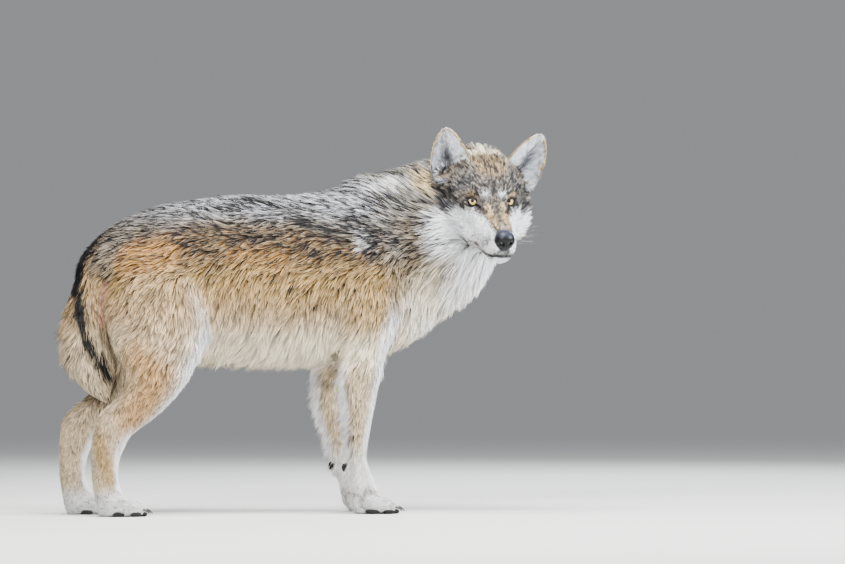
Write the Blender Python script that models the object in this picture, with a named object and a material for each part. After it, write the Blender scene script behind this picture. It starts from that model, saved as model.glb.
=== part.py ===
"""A life-size standing timber wolf, head turned to its right, as a still museum model.

Metres, +Z up. The wolf stands along +X with its left side to +Y, on four paws whose soles lie at Z = 0.
The solids reach out to the tips of the winter coat. The flesh is modelled whole and parted with thin cuts.
"""

import math
from dataclasses import dataclass

import bmesh
import bpy
from mathutils import Matrix, Vector

# Driving dimensions
GAP = 0.0003  # clearance between touching solids
ORIGIN_SHIFT = Vector((-0.1341, 0.0645, 0.0))  # brings the middle of the standing wolf over the origin
HEAD_YAW = math.radians(-90.0)
HEAD_PITCH = math.radians(23.0)  # nose down
EYES_AT = Vector((0.519, -0.160, 0.676))  # midpoint between the eyes
EYE_RADIUS = 0.0125
EYE_SIDE = 0.0415
EYE_FORWARD = 0.0010
EYE_SLANT = math.radians(24)  # outer corner up
EYE_OUTWARD = math.radians(28)
MUZZLE_SWING = 0.065  # how far the muzzle leans to the left for each metre ahead of the eyes
WRIST_PADS = {"right": 0.2180, "left": 0.2235}  # X of the pad behind each wrist
VOXEL = 0.0042
BODY_TRIANGLES = 3230

COLOURS = {
    "coat": ((0.62, 0.50, 0.36), 0.9),
    "pale": ((0.80, 0.77, 0.70), 0.9),
    "eye": ((0.75, 0.52, 0.14), 0.1),
    "nose": ((0.03, 0.03, 0.035), 0.4),
    "claw": ((0.05, 0.045, 0.04), 0.35),
}

SIDES = {"right": -1, "left": 1}


def clear_scene():
    """Empties the scene."""
    for obj in list(bpy.data.objects):
        bpy.data.objects.remove(obj)


def material(kind, owner):
    """A sub-part's own Principled material, of that kind."""
    made = bpy.data.materials.new(f"{owner}_{kind}")
    made.use_nodes = True
    colour, roughness = COLOURS[kind]
    shader = made.node_tree.nodes["Principled BSDF"]
    shader.inputs["Base Color"].default_value = (*colour, 1)
    shader.inputs["Roughness"].default_value = roughness
    return made


def add_object(name, mesh):
    """Links a mesh into the scene under that name."""
    obj = bpy.data.objects.new(name, mesh)
    bpy.context.scene.collection.objects.link(obj)
    return obj


def smooth_path(stations, steps):
    """Stations joined by Catmull-Rom curves, every number of a station alike."""
    last = len(stations) - 1
    made = []
    for i in range(last):
        before, start, end, after = (stations[max(0, min(last, i + k))] for k in (-1, 0, 1, 2))
        for step in range(steps + (i == last - 1)):
            t = step / steps
            made.append([
                0.5 * (2 * b + (c - a) * t + (2 * a - 5 * b + 4 * c - d) * t ** 2
                       + (3 * b - a - 3 * c + d) * t ** 3)
                for a, b, c, d in zip(before, start, end, after)
            ])
    return made


def section(centre, side, normal, radii, shape, count):
    """Points of one oval ring: half width along side, then reach towards +normal and -normal.

    shape is (power, keel): 2 is a true oval and more is squarer, and keel narrows the back half to an edge.
    """
    half_width, front, back = radii
    power, keel = shape
    points = []
    for i in range(count):
        angle = 2 * math.pi * i / count
        c, s = math.cos(angle), math.sin(angle)
        narrowed = 1 - keel * max(0.0, -s)
        along = math.copysign(abs(c) ** (2 / power), c) * half_width * narrowed
        across = math.copysign(abs(s) ** (2 / power), s) * (front if s > 0 else back)
        points.append(centre + side * along + normal * across)
    return points


def loft(name, stations, side=None, power=2.0, keel=0.0, steps=4, count=28):
    """A closed form through oval sections. A station is (x, y, z, half width, front, back)."""
    path = smooth_path(stations, steps)
    centres = [Vector(p[:3]) for p in path]
    form = bmesh.new()
    rings = []
    for i, p in enumerate(path):
        tangent = (centres[min(i + 1, len(path) - 1)] - centres[max(i - 1, 0)]).normalized()
        across = Vector(side) if side else Vector((0, 0, 1)).cross(tangent).normalized()
        normal = tangent.cross(across).normalized()
        radii = [max(r, 0.001) for r in p[3:6]]
        ring = section(centres[i], across, normal, radii, (power, keel), count)
        rings.append([form.verts.new(v) for v in ring])
    for ring, following in zip(rings, rings[1:]):
        for i in range(count):
            j = (i + 1) % count
            form.faces.new((ring[i], ring[j], following[j], following[i]))
    form.faces.new(rings[0][::-1])
    form.faces.new(rings[-1])
    bmesh.ops.recalc_face_normals(form, faces=form.faces)
    mesh = bpy.data.meshes.new(name)
    form.to_mesh(mesh)
    form.free()
    return add_object(name, mesh)


def ellipsoid(name, centre, radii, grid=(24, 14), turn=None):
    """A stretched ball of grid = (segments, rings), turned about its own centre."""
    form = bmesh.new()
    bmesh.ops.create_uvsphere(form, u_segments=grid[0], v_segments=grid[1], radius=1)
    turn = turn or Matrix.Identity(3)
    place = Matrix.Translation(centre) @ turn.to_4x4() @ Matrix.Diagonal((*radii, 1))
    bmesh.ops.transform(form, matrix=place, verts=form.verts)
    mesh = bpy.data.meshes.new(name)
    form.to_mesh(mesh)
    form.free()
    return add_object(name, mesh)


def head_frame():
    """The turned head's place: columns are its forward, left and up, with its origin between the eyes."""
    forward = Vector((
        math.cos(HEAD_YAW) * math.cos(HEAD_PITCH),
        math.sin(HEAD_YAW) * math.cos(HEAD_PITCH),
        -math.sin(HEAD_PITCH),
    ))
    left = Vector((-math.sin(HEAD_YAW), math.cos(HEAD_YAW), 0))
    up = forward.cross(left)
    turn = Matrix((forward, left, up)).transposed()
    return Matrix.Translation(EYES_AT) @ turn.to_4x4()


def baked(obj):
    """Replaces an object's mesh with what its modifiers make of it."""
    graph = bpy.context.evaluated_depsgraph_get()
    mesh = bpy.data.meshes.new_from_object(obj.evaluated_get(graph))
    obj.modifiers.clear()
    obj.data = mesh
    return obj


def joined(name, objects):
    """One object that holds the meshes of several."""
    form = bmesh.new()
    for obj in objects:
        obj.data.transform(obj.matrix_basis)
        form.from_mesh(obj.data)
        bpy.data.objects.remove(obj)
    mesh = bpy.data.meshes.new(name)
    form.to_mesh(mesh)
    form.free()
    return add_object(name, mesh)


def boolean(obj, tool, operation, solver="EXACT"):
    """Cuts an object with another or keeps what they share, and leaves the tool."""
    change = obj.modifiers.new(operation.title(), "BOOLEAN")
    change.operation = operation
    change.object = tool
    change.solver = solver
    return baked(obj)


def grown(obj, name, by=GAP):
    """A copy of a form whose surface stands out by a clearance."""
    copy = add_object(name, obj.data.copy())
    swell = copy.modifiers.new("Swell", "DISPLACE")
    swell.strength = by
    swell.mid_level = 0
    return baked(copy)


def block(name, corner, normal, along, across, lateral, grow=0.0):
    """A box with one face through corner, reaching along normal, and grown all round by a clearance.

    lateral is its (low, high) about the corner along the level axis square to the normal, which is Y where
    the normal has no Y, and across is the same along the third axis.
    """
    axis = Vector(normal).normalized()
    level = Vector((0, 1, 0)) if abs(axis.y) < 1e-6 else Vector((0, 0, 1)).cross(axis).normalized()
    other = level.cross(axis).normalized()
    spans = [(low - grow, high + grow) for low, high in ((0, along), across, lateral)]
    form = bmesh.new()
    bmesh.ops.create_cube(form, size=1)
    for vert in form.verts:
        a, b, c = (low + (high - low) * (v + 0.5) for (low, high), v in zip(spans, vert.co))
        vert.co = Vector(corner) + axis * a + other * b + level * c
    mesh = bpy.data.meshes.new(name)
    form.to_mesh(mesh)
    form.free()
    return add_object(name, mesh)


# ---------------------------------------------------------------- the body's forms


def trunk_forms():
    """Barrel, loin and rump, from tail to breast: (x, y, z, half width, up, down)."""
    return [loft("barrel", [
        (-0.340, 0, 0.478, 0.020, 0.030, 0.040),
        (-0.326, 0, 0.482, 0.055, 0.070, 0.080),
        (-0.296, 0, 0.498, 0.084, 0.096, 0.112),
        (-0.240, 0, 0.518, 0.102, 0.122, 0.146),
        (-0.160, 0, 0.528, 0.110, 0.150, 0.178),
        (-0.070, 0, 0.518, 0.113, 0.177, 0.184),
        (0.030, 0, 0.513, 0.121, 0.184, 0.192),
        (0.120, 0, 0.513, 0.126, 0.184, 0.190),
        (0.200, 0, 0.520, 0.126, 0.187, 0.186),
        (0.270, 0, 0.530, 0.120, 0.190, 0.190),
        (0.320, 0, 0.545, 0.104, 0.185, 0.192),
        (0.355, 0, 0.560, 0.080, 0.150, 0.178),
        (0.380, 0, 0.575, 0.040, 0.090, 0.110),
    ], power=2.2, keel=0.10)]


def neck_forms():
    """The neck in its ruff, from the shoulders up and round to the head."""
    return [
        loft("neck", [
            (0.230, 0.000, 0.560, 0.100, 0.150, 0.150),
            (0.310, 0.000, 0.575, 0.108, 0.172, 0.195),
            (0.378, -0.002, 0.592, 0.108, 0.169, 0.196),
            (0.438, -0.012, 0.618, 0.110, 0.164, 0.180),
            (0.484, -0.032, 0.645, 0.108, 0.150, 0.158),
            (0.512, -0.062, 0.660, 0.098, 0.122, 0.126),
            (0.520, -0.095, 0.655, 0.078, 0.085, 0.092),
            (0.522, -0.118, 0.650, 0.045, 0.045, 0.050),
        ], power=2.05, keel=0.22),
        ellipsoid("bib", (0.492, -0.070, 0.592), (0.088, 0.062, 0.086)),
        ellipsoid("jowl", (0.446, -0.070, 0.588), (0.084, 0.058, 0.105)),
        ellipsoid("nape", (0.552, -0.050, 0.652), (0.078, 0.066, 0.100)),
    ]


def head_forms(place):
    """Skull, muzzle, cheeks and jaw, in the head's own axes: forward, left, up."""
    skull = loft("skull", [
        (-0.168, 0, 0.006, 0.060, 0.058, 0.060),
        (-0.138, 0, 0.006, 0.088, 0.074, 0.085),
        (-0.095, 0, 0.000, 0.098, 0.070, 0.098),
        (-0.055, 0, -0.010, 0.094, 0.068, 0.098),
        (-0.022, 0, -0.022, 0.080, 0.064, 0.090),
        (0.006, 0.006 * MUZZLE_SWING, -0.034, 0.061, 0.053, 0.076),
        (0.032, 0.032 * MUZZLE_SWING, -0.046, 0.048, 0.044, 0.062),
        (0.062, 0.062 * MUZZLE_SWING, -0.053, 0.041, 0.040, 0.054),
        (0.088, 0.088 * MUZZLE_SWING, -0.058, 0.035, 0.038, 0.051),
        (0.106, 0.106 * MUZZLE_SWING, -0.062, 0.029, 0.034, 0.046),
        (0.118, 0.118 * MUZZLE_SWING, -0.066, 0.016, 0.020, 0.026),
    ], side=(0, 1, 0), power=2.25)
    crown = loft("crown", [
        (-0.160, 0, 0.010, 0.055, 0.056, 0.040),
        (-0.130, 0, 0.006, 0.070, 0.081, 0.040),
        (-0.095, 0, 0.000, 0.076, 0.091, 0.040),
        (-0.055, 0, -0.010, 0.074, 0.090, 0.040),
        (-0.022, 0, -0.022, 0.066, 0.075, 0.040),
        (0.006, 0, -0.034, 0.052, 0.053, 0.040),
    ], side=(0, 1, 0), power=2.4)
    forms = [skull, crown]
    for side in SIDES.values():
        ruff = loft("ruff", [
            (-0.150, 0.050 * side, -0.034, 0.044, 0.060, 0.085),
            (-0.112, 0.067 * side, -0.048, 0.058, 0.074, 0.102),
            (-0.070, 0.068 * side, -0.058, 0.059, 0.070, 0.096),
            (-0.034, 0.059 * side, -0.066, 0.053, 0.056, 0.072),
            (-0.004, 0.046 * side, -0.071, 0.039, 0.040, 0.048),
            (0.026, 0.033 * side, -0.074, 0.020, 0.022, 0.028),
        ], side=(0, 1, 0))
        brow = ellipsoid("brow", (-0.012, 0.036 * side, 0.021), (0.024, 0.024, 0.014))
        forms += [ruff, brow]
    for form in forms:
        form.data.transform(place)
    return forms


def foreleg_forms(side, lean, reach):
    """One foreleg from the upper arm to the pastern. lean moves the elbow along X, and reach the paw."""
    y = 0.068 * side
    return [loft("foreleg", [
        (0.262 + lean, y * 0.98, 0.470, 0.052, 0.085, 0.085),
        (0.258 + lean, y * 1.02, 0.400, 0.050, 0.072, 0.074),
        (0.254 + lean, y, 0.345, 0.043, 0.058, 0.058),
        (0.252 + lean, y, 0.292, 0.037, 0.046, 0.046),
        (0.249 + lean, y, 0.240, 0.032, 0.037, 0.038),
        (0.2465 + lean * 0.7 + reach * 0.3, y, 0.190, 0.028, 0.029, 0.030),
        (0.244 + lean * 0.4 + reach * 0.6, y, 0.135, 0.025, 0.0235, 0.0245),
        (0.245 + lean * 0.2 + reach * 0.8, y, 0.105, 0.026, 0.025, 0.026),
        (0.252 + reach, y, 0.075, 0.027, 0.027, 0.028),
        (0.264 + reach, y, 0.045, 0.030, 0.030, 0.034),
        (0.270 + reach, y, 0.020, 0.030, 0.030, 0.034),
    ], side=(0, 1, 0))]


def hind_leg_forms(side, reach):
    """One hind leg: thigh, shank, hock and metatarsus. reach moves its lower part along X."""
    y = 0.074 * side
    return [loft("hind_leg", [
        (-0.235, y * 0.80, 0.560, 0.050, 0.090, 0.078),
        (-0.222, y * 0.92, 0.490, 0.060, 0.122, 0.096),
        (-0.210 + reach * 0.1, y, 0.420, 0.062, 0.126, 0.105),
        (-0.206 + reach * 0.25, y, 0.360, 0.058, 0.108, 0.096),
        (-0.212 + reach * 0.5, y, 0.310, 0.050, 0.084, 0.072),
        (-0.232 + reach * 0.75, y, 0.265, 0.041, 0.062, 0.044),
        (-0.266 + reach * 0.9, y, 0.228, 0.035, 0.050, 0.038),
        (-0.294 + reach, y, 0.195, 0.032, 0.043, 0.046),
        (-0.309 + reach, y, 0.160, 0.029, 0.039, 0.038),
        (-0.316 + reach, y, 0.120, 0.027, 0.032, 0.032),
        (-0.316 + reach, y, 0.080, 0.026, 0.030, 0.030),
        (-0.309 + reach, y, 0.050, 0.028, 0.030, 0.032),
        (-0.302 + reach, y, 0.020, 0.028, 0.030, 0.032),
    ], side=(0, 1, 0))]


def paw_forms(heel, side, length):
    """A foot: the heel's mass and four toes, on the floor. heel is (x, y) of the back of the paw."""
    x, y = heel
    sole = loft("sole", [
        (x + 0.004, y, 0.020, 0.016, 0.014, 0.024),
        (x + 0.020, y, 0.024, 0.028, 0.024, 0.030),
        (x + length * 0.42, y, 0.026, 0.034, 0.022, 0.032),
        (x + length * 0.66, y, 0.022, 0.036, 0.016, 0.028),
        (x + length * 0.80, y, 0.016, 0.028, 0.010, 0.020),
    ], side=(0, 1, 0), power=2.4)
    return [sole] + [toe_form(heel, side, length, toe) for toe in TOES]


# A toe's place across the paw, how far its tip reaches, and its turn outwards in degrees
TOES = {
    "inner": (-0.0265, 0.90, -9.0),
    "inner_middle": (-0.0095, 1.0, -3.0),
    "outer_middle": (0.0095, 1.0, 3.0),
    "outer": (0.0265, 0.90, 9.0),
}


def toe_place(heel, side, length, toe):
    """A toe's frame, with its origin on the floor under its tip and +X forwards."""
    across, reach, turn = TOES[toe]
    tip = Vector((heel[0] + length * reach, heel[1] + across * side, 0.0))
    turned = Matrix.Rotation(math.radians(turn) * side, 4, "Z")
    return Matrix.Translation(tip) @ turned


def toe_form(heel, side, length, toe):
    """One arched toe."""
    form = loft("toe", [
        (-0.062, 0, 0.028, 0.009, 0.008, 0.012),
        (-0.046, 0, 0.031, 0.0115, 0.010, 0.024),
        (-0.028, 0, 0.027, 0.0130, 0.0105, 0.030),
        (-0.012, 0, 0.018, 0.0120, 0.0105, 0.022),
        (-0.003, 0, 0.013, 0.0090, 0.008, 0.015),
        (0.002, 0, 0.012, 0.003, 0.003, 0.004),
    ], side=(0, 1, 0), count=16)
    form.data.transform(toe_place(heel, side, length, toe))
    return form


# (limb, side): where the back of the paw stands, and the paw's length
PAWS = {
    ("fore", "right"): ((0.226, -0.070), 0.110),
    ("fore", "left"): ((0.250, 0.064), 0.110),
    ("hind", "right"): ((-0.340, -0.076), 0.114),
    ("hind", "left"): ((-0.376, 0.074), 0.114),
}


def whole_body(place):
    """All the flesh but ears and tail as one closed form, blended at the joints and flat on the floor."""
    forms = trunk_forms() + neck_forms() + head_forms(place)
    forms += foreleg_forms(-1, 0.0, 0.0) + foreleg_forms(1, -0.026, 0.012)
    forms += hind_leg_forms(-1, 0.0) + hind_leg_forms(1, -0.038)
    for (limb, name), (heel, length) in PAWS.items():
        forms += paw_forms(heel, SIDES[name], length)
    body = joined("body", forms)
    wrap = body.modifiers.new("Wrap", "REMESH")
    wrap.mode = "VOXEL"
    wrap.voxel_size = VOXEL
    baked(body)
    blend_joints(body)
    flatten_soles(body)
    return body


def blend_joints(body):
    """Smooths the creases: a little everywhere, and much on the trunk and upper legs."""
    deep = body.vertex_groups.new(name="deep")
    for vert in body.data.vertices:
        deep.add([vert.index], deep_blend(vert.co), "REPLACE")
    for name, factor, rounds, group in (("Fine", 0.5, 4, ""), ("Deep", 0.6, 40, "deep")):
        change = body.modifiers.new(name, "SMOOTH")
        change.factor = factor
        change.iterations = rounds
        change.vertex_group = group
    baked(body)


def deep_blend(point):
    """1 on the trunk, falling to 0 on the lower legs and on the head."""
    above_legs = min(1.0, max(0.0, (point.z - 0.22) / 0.12))
    from_face = (point - head_frame() @ Vector((0.045, 0, -0.03))).length
    off_face = min(1.0, max(0.0, (from_face - 0.095) / 0.06))
    return above_legs * off_face


def flatten_soles(body):
    """Thins the mesh, and cuts off what lies under the floor."""
    thin = body.modifiers.new("Thin", "DECIMATE")
    thin.ratio = BODY_TRIANGLES / sum(len(p.vertices) - 2 for p in body.data.polygons)
    thin.use_collapse_triangulate = True
    baked(body)
    under = block("under", (0, 0, 0), (0, 0, -1), 0.2, (-1, 1), (-1, 1))
    boolean(body, under, "DIFFERENCE")
    bpy.data.objects.remove(under)
    return body


# ---------------------------------------------------------------- ears, tail and what sits in the flesh


@dataclass
class Ear:
    """An ear in the head's axes: the middle of its base, its tip, and where its opening looks."""

    base: tuple
    tip: tuple
    looks: tuple
    width: float  # half width at the base


EARS = {
    "right": Ear((-0.070, -0.0755, 0.046), (-0.080, -0.0955, 0.142), (0.92, -0.38, 0.05), 0.047),
    "left": Ear((-0.076, 0.0865, 0.0325), (-0.078, 0.1225, 0.1300), (0.93, 0.30, 0.10), 0.054),
}
EAR_SHAPE = (  # share of the height, share of the half width, depth behind, depth in front
    (-0.25, 0.90, 0.030, 0.012),
    (0.00, 1.00, 0.027, 0.010),
    (0.25, 0.95, 0.022, 0.008),
    (0.50, 0.83, 0.017, 0.006),
    (0.72, 0.62, 0.012, 0.005),
    (0.88, 0.40, 0.008, 0.004),
    (0.97, 0.21, 0.005, 0.003),
    (1.00, 0.06, 0.003, 0.002),
)
EAR_WALL = 0.0055


def ear_form(ear, place, hollow=False):
    """The outer form of an ear, or with hollow the form that opens it from the front."""
    base, tip = place @ Vector(ear.base), place @ Vector(ear.tip)
    looks = (place.to_3x3() @ Vector(ear.looks)).normalized()
    axis = tip - base
    side = looks.cross(axis).normalized()
    stations = []
    for share, width, behind, before in EAR_SHAPE:
        centre = base + axis * (share * (0.96 if hollow else 1.0) + (0.10 if hollow and share < 0 else 0))
        half = ear.width * width
        if hollow:
            half, behind, before = half - EAR_WALL, behind - EAR_WALL, 0.05
        stations.append((*centre, max(half, 0.001), max(before, 0.001), max(behind, 0.001)))
    return loft("ear", stations, side=side, steps=1, count=10)


def ears(place, body):
    """Both ears, trimmed to the head."""
    skin = grown(body, "skin")
    for name, ear in EARS.items():
        form = ear_form(ear, place)
        hollow = ear_form(ear, place, hollow=True)
        boolean(form, hollow, "DIFFERENCE", "MANIFOLD")
        boolean(form, skin, "DIFFERENCE", "MANIFOLD")
        bpy.data.objects.remove(hollow)
        finish(form, f"{name}_ear", "coat")
    bpy.data.objects.remove(skin)


def tail(body):
    """The hanging tail, its tip between the thighs."""
    form = loft("tail", [
        (-0.270, 0.000, 0.575, 0.026, 0.026, 0.030),
        (-0.302, 0.000, 0.565, 0.034, 0.036, 0.036),
        (-0.325, 0.000, 0.535, 0.040, 0.040, 0.036),
        (-0.335, 0.002, 0.490, 0.044, 0.048, 0.038),
        (-0.343, 0.004, 0.440, 0.048, 0.056, 0.042),
        (-0.350, 0.006, 0.395, 0.050, 0.062, 0.046),
        (-0.349, 0.008, 0.355, 0.048, 0.070, 0.044),
        (-0.336, 0.008, 0.315, 0.038, 0.068, 0.036),
        (-0.315, 0.006, 0.278, 0.024, 0.046, 0.026),
        (-0.297, 0.004, 0.252, 0.012, 0.012, 0.012),
        (-0.289, 0.003, 0.242, 0.004, 0.004, 0.004),
    ], side=(0, 1, 0), steps=1, count=12)
    skin = grown(body, "skin")
    boolean(form, skin, "DIFFERENCE")
    bpy.data.objects.remove(skin)
    finish(form, "tail", "coat")


def seat(body, form, name, kind):
    """Opens a seat in the body round a form and keeps the form as a node."""
    room = grown(form, "room")
    boolean(body, room, "DIFFERENCE")
    bpy.data.objects.remove(room)
    finish(form, name, kind)


def eyes(place, body):
    """Both eyeballs in their sockets, each behind a shallow opening."""
    for name, side in SIDES.items():
        slant = Matrix.Rotation(EYE_SLANT * side, 3, "X")
        outward = Matrix.Rotation(EYE_OUTWARD * side, 3, "Z")
        middle = (EYE_FORWARD + 0.0165, EYE_SIDE * side, 0)
        opening = ellipsoid("opening", middle, (0.0105, 0.0185, 0.0105), (12, 8), slant @ outward)
        opening.data.transform(place)
        boolean(body, opening, "DIFFERENCE")
        bpy.data.objects.remove(opening)
        centre = place @ Vector((EYE_FORWARD, EYE_SIDE * side, 0))
        ball = ellipsoid("ball", centre, (EYE_RADIUS,) * 3, (12, 8))
        seat(body, ball, f"{name}_eye", "eye")


def nose(place, body):
    """The bare nose, with its two nostrils."""
    form = loft("nose", [
        (0.088, 0.088 * MUZZLE_SWING, -0.030, 0.0130, 0.0090, 0.0120),
        (0.098, 0.098 * MUZZLE_SWING, -0.035, 0.0200, 0.0165, 0.0200),
        (0.109, 0.109 * MUZZLE_SWING, -0.040, 0.0220, 0.0200, 0.0225),
        (0.119, 0.119 * MUZZLE_SWING, -0.043, 0.0195, 0.0170, 0.0200),
        (0.1255, 0.1255 * MUZZLE_SWING, -0.045, 0.0125, 0.0090, 0.0120),
    ], side=(0, 1, 0), power=2.3, steps=1, count=14)
    form.data.transform(place)
    seat(body, form, "nose", "nose")
    for side in SIDES.values():
        middle = (0.123, 0.123 * MUZZLE_SWING + 0.0110 * side, -0.046)
        nostril = ellipsoid("nostril", middle, (0.008, 0.0046, 0.0050), (8, 6))
        nostril.data.transform(place)
        boolean(form, nostril, "DIFFERENCE")
        bpy.data.objects.remove(nostril)
    finish(form, "nose", "nose")


def claw_form(place, length=1.0):
    """One curved claw in a toe's frame."""
    form = loft("claw", [
        (-0.0070, 0, 0.0160, 0.0022, 0.0022, 0.0028),
        (0.0010 * length, 0, 0.0158, 0.0026, 0.0021, 0.0033),
        (0.0080 * length, 0, 0.0118, 0.0019, 0.0015, 0.0024),
        (0.0125 * length, 0, 0.0055, 0.0005, 0.0004, 0.0006),
    ], side=(0, 1, 0), steps=1, count=5)
    form.data.transform(place)
    return form


def claws_and_pads(body):
    """A claw on every toe, and on each wrist a pad behind and a dewclaw inside."""
    for (limb, name), (heel, length) in PAWS.items():
        for toe in TOES:
            claw = claw_form(toe_place(heel, SIDES[name], length, toe))
            seat(body, claw, f"{name}_{limb}_claw_{toe}", "claw")
    for name, x in WRIST_PADS.items():
        pad = ellipsoid("pad", (x, 0.066 * SIDES[name], 0.101), (0.0085, 0.0085, 0.0105), (8, 6))
        seat(body, pad, f"{name}_wrist_pad", "claw")
        inside = (0.066 - 0.027) * SIDES[name]
        turn = Matrix.Rotation(math.radians(58), 4, "Y")
        place = Matrix.Translation((x + 0.030, inside, 0.078)) @ turn
        seat(body, claw_form(place), f"{name}_dewclaw", "claw")


# ---------------------------------------------------------------- parting the flesh into nodes


def finish(obj, name, kind):
    """Names a node, gives it its one material, and shades it smooth."""
    obj.name = name
    obj.data.materials.clear()
    obj.data.materials.append(material(kind, name))
    obj.data.shade_smooth()
    return obj


def cut_off(body, name, kind, region):
    """Parts the flesh in a region from the body. region(grow) makes the region's solid, so much larger."""
    whole = add_object("whole", body.data.copy())
    inside, outside = region(0.0), region(GAP)
    node = boolean(whole, inside, "INTERSECT")
    boolean(body, outside, "DIFFERENCE")
    bpy.data.objects.remove(inside)
    bpy.data.objects.remove(outside)
    finish(node, name, kind)


def band(corner, normal, side, x_span=(-1, 1), along=0.5):
    """A region of one side of the body, beyond a plane through corner."""
    lateral = (GAP / 2, 0.4) if side > 0 else (-0.4, -GAP / 2)

    def region(grow):
        return block("region", corner, normal, along, x_span, lateral, grow)
    return region


def head_region(grow):
    """In front of a plane from behind the ears to the throat."""
    behind_ears = (0.519, -0.035, 0.805)
    to_face = (0.344, -0.885, 0.315)
    return block("region", behind_ears, to_face, 0.5, (-0.5, 0.5), (-0.4, 0.4), grow)


def neck_region(grow):
    """In front of a plane from the withers to the breast."""
    return block("region", (0.312, 0, 0.57), (0.34, 0, 0.09), 0.5, (-0.5, 0.5), (-0.4, 0.4), grow)


def part_flesh(body):
    """Parts the body into its named nodes; what is left is the trunk."""
    for name, side in SIDES.items():
        fore, hind = (0.165, 0.50), (-0.50, -0.10)
        cut_off(body, f"{name}_fore_paw", "pale", slab(side, fore, 0.050))
        cut_off(body, f"{name}_forearm", "pale", slab(side, fore, 0.318))
        cut_off(body, f"{name}_hind_paw", "pale", slab(side, hind, 0.050))
        cut_off(body, f"{name}_hock", "pale", slab(side, hind, 0.205))
        cut_off(body, f"{name}_shank", "pale", slab(side, hind, 0.300))
        cut_off(body, f"{name}_thigh", "coat", band((-0.085, 0, 0.345), (-0.165, 0, -0.325), side))
    cut_off(body, "head", "pale", head_region)
    cut_off(body, "neck", "coat", neck_region)
    finish(body, "trunk", "coat")


def slab(side, x_span, top):
    """A region of one side, between two places along X, under a height."""
    lateral = (GAP / 2, 0.4) if side > 0 else (-0.4, -GAP / 2)

    def region(grow):
        low, high = x_span
        return block("region", ((low + high) / 2, 0, top), (0, 0, -1), 0.5,
                     ((low - high) / 2, (high - low) / 2), lateral, grow)
    return region


def centre_all():
    """Brings the middle of the standing wolf over the origin."""
    for obj in bpy.data.objects:
        obj.data.transform(Matrix.Translation(ORIGIN_SHIFT))


def main():
    """Builds the wolf."""
    clear_scene()
    place = head_frame()
    body = whole_body(place)
    ears(place, body)
    tail(body)
    eyes(place, body)
    nose(place, body)
    claws_and_pads(body)
    part_flesh(body)
    centre_all()


main()
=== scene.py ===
"""A life-size timber wolf in its winter coat, standing with its head turned to its right.

The skin, coat, eyes, nose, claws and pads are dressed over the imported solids, in their frame and in metres.
"""
import logging
import math
from dataclasses import dataclass
from enum import Enum
from typing import Sequence

import bmesh
import bpy
import numpy as np
from bpy.types import ID, Material, Mesh, Node, NodeSocket, NodeTree, Object
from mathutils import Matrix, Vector
from mathutils.bvhtree import BVHTree
from mathutils.kdtree import KDTree
from numpy import ndarray as Array


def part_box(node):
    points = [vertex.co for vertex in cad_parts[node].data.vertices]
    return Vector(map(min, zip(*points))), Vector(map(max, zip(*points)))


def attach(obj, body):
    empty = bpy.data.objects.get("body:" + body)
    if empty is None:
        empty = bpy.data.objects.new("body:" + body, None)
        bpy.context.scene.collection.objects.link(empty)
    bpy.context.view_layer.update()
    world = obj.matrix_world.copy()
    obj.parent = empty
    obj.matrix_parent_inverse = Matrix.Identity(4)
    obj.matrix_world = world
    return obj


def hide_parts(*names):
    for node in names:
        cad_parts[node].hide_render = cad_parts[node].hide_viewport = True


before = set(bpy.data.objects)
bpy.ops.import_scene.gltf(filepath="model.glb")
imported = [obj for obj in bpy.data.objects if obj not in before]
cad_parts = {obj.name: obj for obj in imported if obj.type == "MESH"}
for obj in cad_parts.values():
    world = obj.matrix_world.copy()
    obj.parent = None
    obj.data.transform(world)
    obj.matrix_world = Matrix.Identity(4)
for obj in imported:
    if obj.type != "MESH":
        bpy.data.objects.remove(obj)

LOG = logging.getLogger("wolf")
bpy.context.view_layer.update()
SHIFT = np.array((-0.1341, 0.0645, 0.0))  # from the animal's own origin to the middle of its box
BAKE_MAP = "OFBake"
BAKE_ANGLE = math.radians(70)  # the bend at which the baking map is cut
BAKE_MARGIN = 0.002
FAR = 9.0  # further than any reading on the animal
TINY = 1e-12  # keeps a division from nothing


class Worded(Enum):
    """A choice that also goes by its name in lower case."""

    @property
    def word(self) -> str:
        """The choice's name in lower case."""
        return self.name.lower()


class Side(Worded):
    """The animal's two sides, as the sign of its left."""

    RIGHT = -1
    LEFT = 1


class Region(Worded):
    """A part of the body whose coat is alike."""

    HEAD = 0
    NECK = 1
    TRUNK = 2
    TAIL = 3
    EAR = 4
    THIGH = 5
    SHANK = 6
    HOCK = 7
    HIND_PAW = 8
    FOREARM = 9
    FORE_PAW = 10


@dataclass(frozen=True)
class CoatZone:
    """The coat of one region, in metres: how deep it is, and its tufts' length, width and spacing."""

    depth: float
    length: float
    width: float
    spacing: float


ZONES = {
    Region.HEAD: CoatZone(0.0060, 0.013, 0.0016, 0.0018),
    Region.NECK: CoatZone(0.0270, 0.048, 0.0026, 0.0023),
    Region.TRUNK: CoatZone(0.0170, 0.034, 0.0024, 0.0022),
    Region.TAIL: CoatZone(0.0120, 0.036, 0.0024, 0.0023),
    Region.EAR: CoatZone(0.0009, 0.008, 0.0012, 0.0015),
    Region.THIGH: CoatZone(0.0100, 0.028, 0.0022, 0.0021),
    Region.SHANK: CoatZone(0.0070, 0.020, 0.0019, 0.0019),
    Region.HOCK: CoatZone(0.0040, 0.013, 0.0016, 0.0018),
    Region.HIND_PAW: CoatZone(0.0024, 0.008, 0.0013, 0.0016),
    Region.FOREARM: CoatZone(0.0055, 0.016, 0.0018, 0.0018),
    Region.FORE_PAW: CoatZone(0.0024, 0.008, 0.0013, 0.0016),
}
MIDDLE = (Region.HEAD, Region.NECK, Region.TRUNK, Region.TAIL)
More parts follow.
